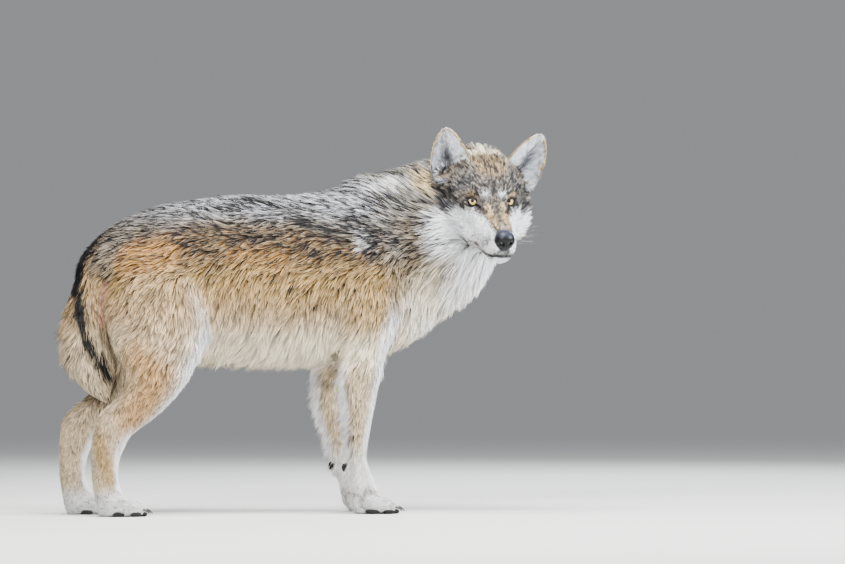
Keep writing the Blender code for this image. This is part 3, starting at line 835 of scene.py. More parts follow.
@dataclass
class Skin:
    """One skin under the whole coat, in place of the nodes of flesh."""

    grain: float = 0.0031
    face_middle: tuple = (0.045, 0.0, -0.03)
    face_reach: float = 0.105
    inset_steps: int = 6
    mouth_path: tuple = ((0.114, 0.0, -0.083), (0.110, 0.016, -0.083), (0.100, 0.0245, -0.086),
                         (0.084, 0.0285, -0.088), (0.061, 0.0295, -0.091), (0.044, 0.0345, -0.092))
    lip_groove: float = 0.0022  # how deep it is
    toe_groove: float = 0.0045

    def build(self) -> tuple[Object, Surface]:
        """Makes the skin.

        Returns:
            The skin's object and its surface as arrays.
        """
        source_points, source_faces, owner = self.flesh()
        points, faces = self.wrapped(source_points, source_faces)
        points, faces = self.refined(points, faces)
        web = Web.of(faces, len(points))
        tree = BVHTree.FromPolygons(source_points.tolist(), source_faces.tolist())
        region = owner[np.array([tree.find_nearest(p)[2] for p in points.tolist()])]
        points = web.evened(points, 3, 0.5)
        surface = self.dressed(points, faces, web, region)
        surface.points = self.inset(surface, web)
        surface.points = self.seated_nose(self.opened_at_eyes(surface.points))
        surface.points = self.mouth(surface)
        surface.points = self.toed(surface)
        surface.normals = point_normals(surface.points, faces)
        surface.flow = unit(surface.flow - surface.normals * (surface.flow * surface.normals).sum(1)[:, None])
        obj = self.object(surface)
        return obj, surface

    @staticmethod
    def flesh() -> tuple[Array, Array, Array]:
        """The solids of flesh and the eyes between them, as one set of triangles with each one's region."""
        parts, start = [], 0
        nodes = {**FLESH, "right_eye": Region.HEAD, "left_eye": Region.HEAD, "nose": Region.HEAD}
        for name, region in nodes.items():
            places, corners = arrays_of(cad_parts[name].data)
            parts.append((places, corners + start, np.full(len(corners), region.value)))
            start += len(places)
        return tuple(np.concatenate(part) for part in zip(*parts))

    def wrapped(self, points: Array, faces: Array) -> tuple[Array, Array]:
        """One closed mesh round the solids, its inner leftovers dropped."""
        mesh = bpy.data.meshes.new("wrap")
        mesh.from_pydata(points.tolist(), [], faces.tolist())
        return self.largest(*arrays_of(changed(mesh, "REMESH", {"mode": "VOXEL", "voxel_size": self.grain})))

    @staticmethod
    def largest(points: Array, faces: Array) -> tuple[Array, Array]:
        """The largest connected part of a mesh."""
        label = np.arange(len(points))
        while True:
            least = label[faces].min(1)
            fresh = label.copy()
            for k in range(3):
                np.minimum.at(fresh, faces[:, k], least)
            fresh = fresh[fresh]
            if (fresh == label).all():
                break
            label = fresh
        keep = label == np.bincount(label).argmax()
        faces = faces[keep[faces[:, 0]]]
        index = np.cumsum(keep) - 1
        return points[keep], index[faces]

    def refined(self, points: Array, faces: Array) -> tuple[Array, Array]:
        """Each triangle of the face parted into four, for its small forms.

        Args:
            points: One place a row.
            faces: Three corners a row.
        Returns:
            The finer mesh's points and triangles.
        """
        work = bmesh.new()
        mesh = bpy.data.meshes.new("refine")
        mesh.from_pydata(points.tolist(), [], faces.tolist())
        work.from_mesh(mesh)
        near = np.linalg.norm(HEAD.read(points) - np.array(self.face_middle), axis=1) < self.face_reach
        work.verts.ensure_lookup_table()
        edges = [e for e in work.edges if near[e.verts[0].index] and near[e.verts[1].index]]
        bmesh.ops.subdivide_edges(work, edges=edges, cuts=1, use_grid_fill=True)
        bmesh.ops.triangulate(work, faces=work.faces)
        work.to_mesh(mesh)
        work.free()
        return arrays_of(mesh)

    @staticmethod
    def dressed(points: Array, faces: Array, web: Web, region: Array) -> Surface:
        """The coat's depth, tuft sizes, lie and markings over the skin.

        Args:
            points: The skin's points, at the coat's tips.
            faces: Its triangles.
            web: Its edges.
            region: Each point's region number.
        Returns:
            The skin with all that grows on it.
        """
        zones = np.array([(z.depth, z.length, z.width, z.spacing) for z in ZONES.values()])
        sizes = zones[region]

        def grow(share: Array, depth: float, length: float) -> None:
            """Deepens the coat and lengthens its tufts by a share of these."""
            sizes[:, 0] += depth * share
            sizes[:, 1] += length * share

        body, head = points - SHIFT, HEAD.read(points)
        is_head = among(region, Region.HEAD)
        from_muzzle = ramp(head[:, 0], 0.055, -0.01)
        to_ruff = ramp(np.abs(head[:, 1]) - 0.5 * head[:, 2] + 0.35 * (-head[:, 0]), 0.075, 0.125)
        face = np.column_stack((
            0.0012 + 0.0028 * from_muzzle + 0.018 * to_ruff,
            0.0055 + 0.0055 * from_muzzle + 0.024 * to_ruff,
            0.0010 + 0.0004 * from_muzzle + 0.0009 * to_ruff,
            0.0013 + 0.0002 * from_muzzle + 0.0007 * to_ruff,
        ))
        crown = ramp(head[:, 2], 0.05, 0.08)[:, None] * np.array((0.004, 0.008, 0.0, 0.0))
        sizes[is_head] = (face + crown)[is_head]
        longer = np.maximum(ramp(body[:, 2], 0.44, 0.37), ramp(body[:, 2], 0.62, 0.68) * 0.7)
        longer = longer * among(region, Region.TRUNK)
        grow(longer, 0.004, 0.014)
        thin_tail = among(region, Region.TAIL) * ramp(body[:, 2], 0.36, 0.26)
        sizes[:, 0] *= 1 - 0.75 * thin_tail
        normals = point_normals(points, faces)
        arm = among(region, Region.FOREARM) * ramp(body[:, 2], 0.20, 0.31)
        behind = among(region, Region.FOREARM) * ramp(normals[:, 0], -0.3, -0.8)
        sizes[:, 1] += 0.010 * behind * ramp(body[:, 2], 0.09, 0.12)
        grow(arm, 0.005, 0.010)
        front, along, outer = on_ears(points, normals).T
        in_ear = among(region, Region.EAR) * ramp(front, 0.1, 0.5)
        sizes[:, 3] += 0.0022 * in_ear * np.exp(-((outer - 0.30) / 0.5) ** 2 - ((along - 0.30) / 0.30) ** 2)
        grow(in_ear, 0.0015, 0.011)
        for side in Side:
            grow(ramp(wrist_pad_gap(points, side, 0.008), 0.020, 0.008), 0.003, 0.012)
        grow(Lie().tuft(points) * is_head, 0.012, 0.012)
        flow = Lie().at(points, normals, region)
        even = web.evened(np.column_stack((sizes, flow)), 40, 0.6)
        ear = among(region, Region.EAR).astype(float)
        even[:, :4] = blend(even[:, :4], web.evened(sizes, 3, 0.5), web.evened(ear[:, None], 4, 0.5)[:, 0])
        ground, ticks = Markings().read(points, normals, region, web)
        return Surface(
            points, faces, normals, unit(even[:, 4:]), even[:, 0], even[:, 1],
            even[:, 2], even[:, 3], region, ground, ticks,
        )

    def inset(self, surface: Surface, web: Web) -> Array:
        """The points drawn inwards by the coat's depth, evened as they go."""
        points = surface.points
        pull = (np.clip(surface.depth / 0.02, 0, 1) * 0.5)[:, None]
        for _ in range(self.inset_steps):
            normals = point_normals(points, surface.faces)
            points = points - normals * (surface.depth / self.inset_steps)[:, None]
            points = web.evened(points, 2, pull)
        return points

    @staticmethod
    def opened_at_eyes(points: Array) -> Array:
        """The skin taken behind each eyeball's front, and brought up to the lids round it."""
        for side in Side:
            eye = Eye(side)
            away = points - eye.centre()
            reach = np.linalg.norm(away, axis=1)
            near = reach < eye.face_reach
            ring = eye.ring_share(away[near])
            past = ring - eye.skin_edge
            aim = np.where(past < 0, eye.behind, eye.under_lids + 0.0010 * np.clip(past, 0, 2.5))
            share = ramp(ring, 3.2, 1.6)
            moved = reach[near] * (1 - share) + aim * share
            points[near] = eye.centre() + unit(away[near]) * moved[:, None]
        return points

    @staticmethod
    def seated_nose(points: Array) -> Array:
        """The skin taken inside the bare nose, so that the nose covers it."""
        local = (HEAD.read(points) - np.array(Nose.middle)) / np.array(Nose.radii)
        reach = np.linalg.norm(local, axis=1)
        share = ramp(reach, 1.32, 1.14) * ramp(local[:, 0], -0.55, -0.10)
        aim = reach + (0.64 - reach) * share
        inside = local * (aim / np.maximum(reach, 1e-6))[:, None] * np.array(Nose.radii)
        return blend(points, HEAD.place(inside + np.array(Nose.middle)), (share > 0).astype(float))

    def mouth(self, surface: Surface) -> Array:
        """The closed mouth's groove, with dark lips along it.

        Args:
            surface: The skin, which takes the lips' colour and thinner fur.
        Returns:
            The skin's points with the groove pressed in.
        """
        head = HEAD.evened(surface.points)
        tree = BVHTree.FromPolygons(head.tolist(), surface.faces.tolist())
        path = []
        places = np.array(self.mouth_path)
        for start, end in zip(places[:-1], places[1:]):
            for t in np.linspace(0, 1, 5):
                path.append(np.array(tree.find_nearest(Vector(start + (end - start) * t))[0]))
        nearest = path_gap(folded(head), folded(np.array(path)))
        ahead = ramp(head[:, 0], 0.080, 0.100)
        lips = ramp(nearest - 0.0022 * ahead, 0.0040, 0.0018)
        surface.ground = blend(surface.ground, Pigment.BLACK.light, lips * 0.95)
        surface.ticks = blend(surface.ticks, 0.0, lips)
        surface.spacing = surface.spacing + 0.004 * ramp(nearest, 0.0030, 0.0015)
        groove = ramp(nearest, 0.0035, 0.0) * self.lip_groove
        return surface.points - point_normals(surface.points, surface.faces) * groove[:, None]

    def toed(self, surface: Surface) -> Array:
        """The grooves between the toes, with painted shade in them."""
        depth = np.max([paw.groove(surface.points - SHIFT) for paw in PAWS], axis=0)
        # painted shade: slate over the fur where the grooves are deepest
        dark = ramp(depth, 0.4, 1.0)
        surface.ground = blend(surface.ground, Pigment.SLATE.light, dark * 0.40)
        surface.ticks = blend(surface.ticks, 0.15, dark)
        return surface.points - surface.normals * (depth * self.toe_groove)[:, None]

    def object(self, surface: Surface) -> Object:
        """The skin as a mesh object with its unwrap and markings.

        Args:
            surface: The skin, which takes its places on the baking map.
        Returns:
            The object.
        """
        mesh = mesh_of("skin", surface.points, surface.faces)
        obj = add_piece("skin", mesh, PeltFinish().material("pelt_skin", True))
        unwrap(obj)
        uv = np.empty(len(mesh.loops) * 2, np.float32)
        mesh.uv_layers[BAKE_MAP].data.foreach_get("uv", uv)
        surface.bake_uv = uv.reshape(-1, 3, 2)
        noise = Grain(0.006, 3).at(surface.points)
        dark = np.clip(surface.ticks * 1.3 * ramp(noise, 0.35, 0.75), 0, 1)
        # a rise of 0.25 gives the skin the painted shade of the tufts' roots, where it shows between them
        hair = np.column_stack((np.full(len(dark), 0.25), dark * 0.6, noise, np.ones(len(dark))))
        colour_attribute(mesh, "Ground", np.column_stack((surface.ground, under_fur(surface.ground))))
        colour_attribute(mesh, "Hair", hair)
        return obj


# ---- meshes and pieces


def wrist_pad_gap(points: Array, side: Side, lift: float) -> Array:
    """How far points are from the place that lies lift metres above a wrist pad's middle."""
    low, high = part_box(f"{side.word}_wrist_pad")
    return np.linalg.norm(points - (np.array(low) + np.array(high)) / 2 - np.array((0.0, 0.0, lift)), axis=1)


def linked(name: str, data: ID) -> Object:
    """A new object of the scene with this mesh, lamp or camera."""
    obj = bpy.data.objects.new(name, data)
    bpy.context.scene.collection.objects.link(obj)
    return obj


def arrays_of(mesh: Mesh) -> tuple[Array, Array]:
    """A mesh as arrays.

    Args:
        mesh: Any mesh.
    Returns:
        One point a row, and one triangle's corners a row.
    """
    mesh.calc_loop_triangles()
    points = np.empty(len(mesh.vertices) * 3)
    mesh.vertices.foreach_get("co", points)
    corners = np.empty(len(mesh.loop_triangles) * 3, np.int32)
    mesh.loop_triangles.foreach_get("vertices", corners)
    return points.reshape(-1, 3), corners.reshape(-1, 3)


def changed(mesh: Mesh, kind: str, settings: dict) -> Mesh:
    """What a modifier makes of a mesh.

    Args:
        mesh: The mesh.
        kind: The modifier's type.
        settings: Its properties, then the inputs of its node group by their identifiers.
    Returns:
        A new mesh.
    """
    obj = linked("work", mesh)
    modifier = obj.modifiers.new("Change", kind)
    for key, setting in settings.items():
        if hasattr(modifier, key):
            setattr(modifier, key, setting)
        else:
            modifier[key] = setting
    evaluated = obj.evaluated_get(bpy.context.evaluated_depsgraph_get())
    made = bpy.data.meshes.new_from_object(evaluated)
    bpy.data.objects.remove(obj)
    return made


def under_fur(ground: Array) -> Array:
    """How light the roots of the fur are, which sets how deep the painted shade between the tufts goes: light
    under white fur, dark under coloured fur with its darker underfur.
    """
    return 0.06 + 0.52 * ramp(ground @ np.array((0.3, 0.5, 0.2)), 0.42, 0.85)


def mesh_of(name: str, points: Array, faces: Array) -> Mesh:
    """A smooth-shaded mesh from triangles.

    Args:
        name: The mesh's name.
        points: One place a row.
        faces: Three corners a row.
    Returns:
        The mesh.
    """
    mesh = bpy.data.meshes.new(name)
    mesh.vertices.add(len(points))
    mesh.vertices.foreach_set("co", np.ascontiguousarray(points, np.float32).ravel())
    mesh.loops.add(faces.size)
    mesh.loops.foreach_set("vertex_index", np.ascontiguousarray(faces, np.int32).ravel())
    mesh.polygons.add(len(faces))
    mesh.polygons.foreach_set("loop_start", np.arange(0, faces.size, 3, dtype=np.int32))
    mesh.update(calc_edges=True)
    mesh.shade_smooth()
    return mesh


def colour_attribute(mesh: Mesh, name: str, values: Array) -> None:
    """Stores four numbers a point under a name, for the material to read."""
    made = mesh.color_attributes.new(name, "FLOAT_COLOR", "POINT")
    made.data.foreach_set("color", np.ascontiguousarray(values, np.float32).ravel())


def add_piece(name: str, mesh: Mesh, material: Material) -> Object:
    """A piece of the wolf with its material, riding on its one body.

    Args:
        name: The piece's name.
        mesh: Its mesh, in place.
        material: Its only material.
    Returns:
        The object.
    """
    obj = linked(name, mesh)
    mesh.materials.clear()
    mesh.materials.append(material)
    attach(obj, "root")
    LOG.info("%s: %d faces", name, len(mesh.polygons))
    return obj


def unwrap(obj: Object) -> None:
    """Unwraps a piece by its own shape into its baking map."""
    obj.data.uv_layers.new(name=BAKE_MAP)
    bpy.context.view_layer.objects.active = obj
    obj.select_set(True)
    bpy.ops.object.mode_set(mode="EDIT")
    bpy.ops.mesh.select_all(action="SELECT")
    bpy.ops.uv.smart_project(angle_limit=BAKE_ANGLE, island_margin=BAKE_MARGIN)
    bpy.ops.object.mode_set(mode="OBJECT")
    obj.select_set(False)


# ---- finishes


@dataclass(frozen=True)
class PeltFinish:
    """The coat's and skin's finish: each tuft darker towards its root, as painted shade between the tufts
    over the darker underfur of coloured coats, of its ground colour, then pale or black.
    """

    black: tuple = (*Pigment.BLACK.value, 1.0)
    roughness: float = 0.62

    def material(self, name: str, bare: bool = False) -> Material:
        """The material.

        Args:
            name: Its name.
            bare: True for the skin, which has bump where the coat has tufts.
        Returns:
            The material.
        """
        tree = Tree(name)
        read = tree.node("ShaderNodeAttribute", {"attribute_name": "Ground"}).outputs
        ground, under = read["Color"], Value(tree, read["Alpha"])
        rise, tip, chance = tree.channels("Hair")
        # painted shade between the tufts: each tuft darker towards its root, down to the lightness in the
        # Ground attribute's alpha
        shade = rise.step(-0.05, 0.70) * (1 - under) + under
        shade = shade * (chance * (1 - under) * 1.35 + 0.33 + under * 0.76)
        colour = tree.mix(ground, (*Pigment.IVORY.value, 1.0), rise.step(0.50, 0.95) * (1 - tip) * 0.17)
        colour = tree.mix(colour, self.black, tip * rise.step(0.26, 0.48))
        lit = tree.node("ShaderNodeCombineColor", None, {0: shade, 1: shade, 2: shade}).outputs[0]
        colour = tree.mix(colour, lit, 1.0, "MULTIPLY")
        values = {"Base Color": colour, "Roughness": self.roughness, "Specular IOR Level": 0.25}
        if bare:
            values["Normal"] = tree.bump(tree.noise(420.0, 3.0), 0.0012, 0.6)
        return tree.surface(values)


@dataclass(frozen=True)
class EyeFinish:
    """An amber eye: black pupil, radial fibres, dark rim and dark white, with the upper lid's shadow painted
    over the iris's top.
    """

    iris_light: tuple = (*tone(222, 204, 132), 1.0)
    iris_dark: tuple = (*tone(160, 132, 66), 1.0)
    rim: tuple = (*tone(22, 16, 13), 1.0)

    def material(self) -> Material:
        """The eyeball's material, which reads how far out from the gaze each point is."""
        tree = Tree("amber_eye")
        out, round_x, round_y = tree.channels("Iris")
        place = tree.node("ShaderNodeCombineXYZ", None, {0: round_x, 1: round_y, 2: out * 0.15}).outputs[0]
        fibres = tree.noise(26.0, 2.0, place)
        colour = tree.mix(self.iris_dark, self.iris_light, fibres.step(0.25, 0.65))
        colour = tree.mix(colour, self.iris_dark, out.step(0.55, 0.95) * 0.7)
        # painted shadow of the upper lid: the iris darker towards its top
        above = (round_y * 2.0 - 1.0) * out
        colour = tree.mix(colour, self.iris_dark, above.step(0.10, 0.70) * 0.85)
        colour = tree.mix(self.rim, colour, out.step(0.36, 0.43))
        colour = tree.mix(colour, self.rim, out.step(0.92, 1.04))
        return tree.surface({"Base Color": colour, "Roughness": 0.4, "Specular IOR Level": 0.1,
                             "Coat Weight": 0.06, "Coat Roughness": 0.03})


@dataclass(frozen=True)
class LeatherFinish:
    """Bare dark skin: nose, lids and pads, with fine creases."""

    name: str
    dark: tuple
    light: tuple
    grain_size: float = 0.0016
    depth: float = 0.0003
    roughness: tuple = (0.30, 0.55)
    worn: tuple | None = None  # the colour where the mesh's sheen attribute is 1: on the nose, the painted sheen of its top

    def material(self) -> Material:
        """The leather's material."""
        tree = Tree(self.name)
        values = {"Vector": tree.place(), "Scale": 1 / self.grain_size, "Smoothness": 0.4}
        cells = tree.number("ShaderNodeTexVoronoi", {"feature": "SMOOTH_F1"}, values, "Distance")
        wear = tree.noise(160.0)
        colour = tree.mix((*self.dark, 1.0), (*self.light, 1.0), wear.step(0.35, 0.75))
        # a painted sheen: a paler, bluish colour laid where the mesh's attribute says
        if self.worn:
            worn = tree.number("ShaderNodeAttribute", {"attribute_name": "Worn"}, None, "Fac")
            colour = tree.mix(colour, (*self.worn, 1.0), worn * 0.85)
        low, high = self.roughness
        return tree.surface({
            "Base Color": colour,
            "Roughness": wear * (high - low) + low,
            "Specular IOR Level": 0.22,
            "Normal": tree.bump(1 - cells, self.depth, 0.8),
        })


@dataclass(frozen=True)
class ClawFinish:
    """Dark horn with paler streaks of wear along it."""

    root: tuple = (*tone(30, 26, 25), 1.0)
    worn: tuple = (*tone(64, 56, 50), 1.0)
    streaks_per_metre: tuple = (60.0, 700.0, 200.0)

    def material(self) -> Material:
        """The horn's material, streaked along the claw."""
        tree = Tree("claw_horn")
        values = {"Vector": tree.place(), "Scale": self.streaks_per_metre}
        stretched = tree.node("ShaderNodeMapping", None, values)
        streaks = tree.noise(1.0, 3.0, stretched.outputs[0])
        colour = tree.mix(self.root, self.worn, streaks.step(0.35, 0.8))
        return tree.surface({
            "Base Color": colour,
            "Roughness": streaks * 0.25 + 0.28,
            "Normal": tree.bump(streaks, 0.0002, 0.6),
        })


@dataclass(frozen=True)
class WhiskerFinish:
    """Stiff hairs, tan at the root and pale at the tip."""

    name: str = "whisker_hair"
    colour: tuple = (*tone(140, 104, 66), 1.0)

    def material(self) -> Material:
        """The whiskers' material."""
        tree = Tree(self.name)
        colour = tree.mix(self.colour, (*Pigment.WHITE.value, 1.0), tree.noise(60.0).step(0.4, 0.7))
        return tree.surface({"Base Color": colour, "Roughness": 0.4})


# ---- eyes and lids


@dataclass(frozen=True)
class Eye:
    """One eyeball with its lids. Angles are seen from the eyeball's centre."""

    side: Side
    radius: float = 0.0125
    spread: float = 0.0415  # from the middle of the face
    iris_radius: float = 0.0088
    cornea: float = 0.0011  # how far it stands out
    rim_reach: float = 0.022  # from the eyeball's centre, past which the face has its fur
    dark_reach: float = 0.024  # past which no skin is black round the eye
    face_reach: float = 0.030  # past which the skin isn't fitted to the eye
    skin_edge: float = 1.15  # as ring_share tells it, where the skin dips behind the lids
    behind: float = 0.0100  # how far from the eyeball's centre the skin lies there
    under_lids: float = 0.0122
    rings: int = 40
    columns: int = 48
    lid_columns: int = 64
    long_half: float = math.radians(60)
    high_half: float = math.radians(27)
    slant: float = math.radians(30)

    def centre(self) -> Array:
        """The eyeball's centre in the frame."""
        return HEAD.place((0.001, self.spread * self.side.value, 0.0))

    def opening(self) -> tuple[Array, Array, Array]:
        """The opening's outward, long and high directions, in the frame. Long runs away from the nose."""
        outward = HEAD.aim((0.90, 0.05 * self.side.value, 0.26))
        level = HEAD.aim((0.0, self.side.value, 0.0))
        up = HEAD.aim((0.0, 0.0, 1.0))
        long = math.cos(self.slant) * level + math.sin(self.slant) * up
        long = unit(long - outward * (long @ outward))
        high = np.cross(outward, long)
        return outward, long, high * np.sign(high @ up)

    def ring_share(self, away: Array) -> Array:
        """How far out each direction is: 1 on the lids' edge, less on the eye and more on the face."""
        outward, long, high = self.opening()
        ahead = away @ outward
        angle_long = np.arctan2(away @ long, ahead)
        angle_high = np.arctan2(away @ high, ahead)
        high_share = np.abs(angle_high) / self.high_half
        share = (high_share + np.sqrt(high_share ** 2 + 4 * (angle_long / self.long_half) ** 2)) / 2
        return np.where(ahead > -0.5 * self.radius, share, FAR)

    def ball(self) -> Object:
        """The eyeball, its pole on the gaze and its cornea raised."""
        across = unit(np.cross(GAZE, np.array((0.0, 0.0, 1.0))))
        upward = np.cross(across, GAZE)
        iris_angle = math.asin(self.iris_radius / self.radius)
        points, iris = [], []
        for ring in range(self.rings + 1):
            polar = math.pi * (ring / self.rings) ** 1.4
            raised = self.cornea * float(ramp(np.array(polar), iris_angle * 1.15, 0.0))
            for column in range(self.columns):
                turn = 2 * math.pi * column / self.columns
                out = math.sin(polar) * (math.cos(turn) * across + math.sin(turn) * upward)
                points.append(self.centre() + (math.cos(polar) * GAZE + out) * (self.radius + raised))
                iris.append((polar / iris_angle, math.cos(turn) * 0.5 + 0.5, math.sin(turn) * 0.5 + 0.5, 1.0))
        points, iris = np.array(points), np.array(iris)
        faces = tube_faces(self.rings + 1, self.columns)
        mesh = mesh_of(f"{self.side.word}_eyeball", points, outward_faces(points, faces, self.centre()))
        colour_attribute(mesh, "Iris", iris)
        obj = add_piece(f"{self.side.word}_eyeball", mesh, EyeFinish().material())
        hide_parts(f"{self.side.word}_eye")
        return obj

    def lids(self, material: Material) -> Object:
        """Both lids as one rolled rim, pointed at its two corners.

        Args:
            material: The lids' bare skin.
        Returns:
            The lids' object.
        """
        outward, long, high = self.opening()
        section = (
            (1.00, 0.0126), (0.98, 0.0135), (1.06, 0.0142), (1.30, 0.0144),
            (1.66, 0.0139), (2.05, 0.0124), (1.5, 0.0110),
        )
        points = []
        for share, reach in section:
            for column in range(self.lid_columns):
                turn = 2 * math.pi * column / self.lid_columns
                a = self.long_half * share * math.cos(turn)
                b = self.high_half * share * math.sin(turn) * abs(math.sin(turn))
                aim = outward * (math.cos(a) * math.cos(b)) + long * math.sin(a) * math.cos(b)
                points.append(self.centre() + unit(aim + high * math.sin(b)) * reach)
        points = np.array(points)
        faces = ring_faces(len(section), self.lid_columns)
        mesh = mesh_of(f"{self.side.word}_lids", points, facing_out(points, faces))
        return add_piece(f"{self.side.word}_lids", mesh, material)


def clear_of_eyes(places: Array, share: float) -> Array:
    """False for places over an eye or its dark rim.

    Args:
        places: Points in the frame.
        share: How far out the rim goes, as ring_share tells it.
    Returns:
        True or False for each place.
    """
    clear = np.ones(len(places), bool)
    for side in Side:
        eye = Eye(side)
        away = places - eye.centre()
        clear &= (np.linalg.norm(away, axis=1) > eye.rim_reach) | (eye.ring_share(away) > share)
    return clear


def tube_faces(rings: int, columns: int) -> Array:
    """Triangles between following rings of points."""
    ring = np.arange(rings - 1)[:, None] * columns
    column = np.arange(columns)[None, :]
    following = (column + 1) % columns
    a, b = ring + column, ring + following
    c, d = a + columns, b + columns
    return np.concatenate((np.stack((a, b, d), -1).reshape(-1, 3), np.stack((a, d, c), -1).reshape(-1, 3)))


def ring_faces(rings: int, columns: int) -> Array:
    """Triangles of a closed rim, whose last ring of points meets its first."""
    faces = tube_faces(rings + 1, columns)
    return faces % (rings * columns)


def outward_faces(points: Array, faces: Array, centre: Array) -> Array:
    """Triangles turned away from a centre, with those of no size left out."""
    across = spans(points, faces)
    keep = np.linalg.norm(across, axis=1) > 1e-13
    faces, across = faces[keep], across[keep]
    inward = (across * (points[faces[:, 0]] - centre)).sum(1) < 0
    faces[inward] = faces[inward][:, ::-1]
    return faces


def facing_out(points: Array, faces: Array) -> Array:
    """Triangles of a closed mesh turned so that its volume is positive."""
    volume = (points[faces[:, 0]] * spans(points, faces)).sum()
    return faces if volume > 0 else faces[:, ::-1]


# ---- nose, claws and pads


@dataclass(frozen=True)
class Nose:
    """The bare nose with its nostrils and the groove under them, in the head's axes."""

    middle: tuple = (0.1060, 0.0069, -0.0475)
    radii: tuple = (0.0210, 0.0225, 0.0235)
    roundness: float = 0.88  # 1 for a ball, less for a block
    narrowing: float = 0.36  # how much of its width its foot loses
    setback: float = 0.004  # how far its foot lies back
    rings: int = 48
    columns: int = 72

    def build(self) -> Object:
        """Makes the nose, with a painted sheen on its top."""
        ball = sphere(self.rings, self.columns)
        local = np.sign(ball) * np.abs(ball) ** self.roundness * np.array(self.radii)
        local[:, 1] *= 1 - self.narrowing * np.clip(-ball[:, 2], 0, 1)
        local[:, 0] -= self.setback * np.clip(-ball[:, 2], 0, 1)
        local = self.carved(local, ball)
        points = HEAD.place(local + np.array(self.middle))
        faces = facing_out(points, tube_faces(self.rings + 1, self.columns))
        mesh = mesh_of("nose_leather", points, faces)
        # painted sheen on the nose's top, paler and bluer
        above = ramp(ball[:, 2] - 0.35 * ball[:, 0], 0.10, 0.80)
        colour_attribute(mesh, "Worn", np.repeat(above[:, None], 4, axis=1))
        finish = LeatherFinish("nose_leather", tone(8, 8, 9), tone(18, 19, 23), 0.0014, 0.00025, (0.26, 0.42),
                               tone(46, 52, 66))
        obj = add_piece("nose_leather", mesh, finish.material())
        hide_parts("nose")
        return obj

    @staticmethod
    def carved(local: Array, ball: Array) -> Array:
        """Nostrils with their side slits, and the middle groove, pressed into the front."""
        side = np.abs(local[:, 1])
        front = np.clip(ball[:, 0], 0, 1) ** 0.5
        hole = np.exp(-((side - 0.0094) / 0.0044) ** 2 - ((local[:, 2] + 0.0016) / 0.0048) ** 2)
        slit = np.exp(-((side - 0.0165) / 0.0045) ** 2 - ((local[:, 2] + 0.0055) / 0.0018) ** 2)
        groove = np.exp(-(side / 0.0010) ** 2) * ramp(local[:, 2], 0.004, -0.004)
        local[:, 0] -= front * (0.0120 * hole + 0.0050 * slit + 0.0018 * groove)
        return local


@dataclass(frozen=True)
class Claws:
    """The claws of each paw and the dewclaws, smoothed from their solids."""

    toes: tuple = ("inner", "inner_middle", "outer_middle", "outer")

    def build(self) -> None:
        """Makes one piece for each paw, and one for each dewclaw."""
        horn = ClawFinish().material()
        for side in Side:
            for limb in ("fore", "hind"):
                nodes = [f"{side.word}_{limb}_claw_{toe}" for toe in self.toes]
                rounded(f"{side.word}_{limb}_claws", nodes, horn)
            rounded(f"{side.word}_dewclaw_horn", [f"{side.word}_dewclaw"], horn)


def rounded(name: str, nodes: list[str], material: Material) -> Object:
    """A smooth piece with the solids' own shapes, in place of their nodes.

    Args:
        name: The piece's name.
        nodes: The nodes that it stands for.
        material: Its material.
    Returns:
        The piece.
    """
    work = bmesh.new()
    for node in nodes:
        work.from_mesh(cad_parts[node].data)
    bmesh.ops.remove_doubles(work, verts=work.verts, dist=1e-6)
    mesh = bpy.data.meshes.new(name)
    work.to_mesh(mesh)
    work.free()
    made = changed(mesh, "SUBSURF", {"levels": 2, "render_levels": 2})
    made.name = name
    made.shade_smooth()
    obj = add_piece(name, made, material)
    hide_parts(*nodes)
    return obj


@dataclass(frozen=True)
class Paw:
    """Where one paw stands, in the animal's own coordinates."""

    limb: str
    side: Side
    heel: tuple
    length: float

    def pads(self) -> list[tuple[Array, tuple]]:
        """The middle and the half sizes of each pad under the paw."""
        found = []
        for across, reach in ((-0.0258, 0.86), (-0.0095, 1.0), (0.0095, 1.0), (0.0258, 0.86)):
            ahead = self.heel[0] + self.length * reach - 0.0125
            middle = (ahead, self.heel[1] + across * self.side.value, 0.0052)
            found.append((np.array(middle), (0.0125, 0.0084, 0.0056)))
        main = (self.heel[0] + self.length * 0.43, self.heel[1], 0.0066)
        found.append((np.array(main), (0.0190, 0.0320, 0.0076)))
        return found

    def groove(self, body: Array) -> Array:
        """How deep in the grooves between the toes each point is, from 0 to 1."""
        ahead = (body[:, 0] - self.heel[0]) / self.length
        across = body[:, 1] - self.heel[1]
        off = np.abs(across[:, None] - np.array((-0.0175, 0.0, 0.0175))).min(1)
        near = (np.abs(across) < 0.045) * ramp(body[:, 2], 0.07, 0.05)
        return ramp(off, 0.0062, 0.0) * ramp(ahead, 0.50, 0.72) * near


PAWS = (
    Paw("fore", Side.RIGHT, (0.226, -0.070), 0.110),
    Paw("fore", Side.LEFT, (0.250, 0.064), 0.110),
    Paw("hind", Side.RIGHT, (-0.340, -0.076), 0.114),
    Paw("hind", Side.LEFT, (-0.376, 0.074), 0.114),
)


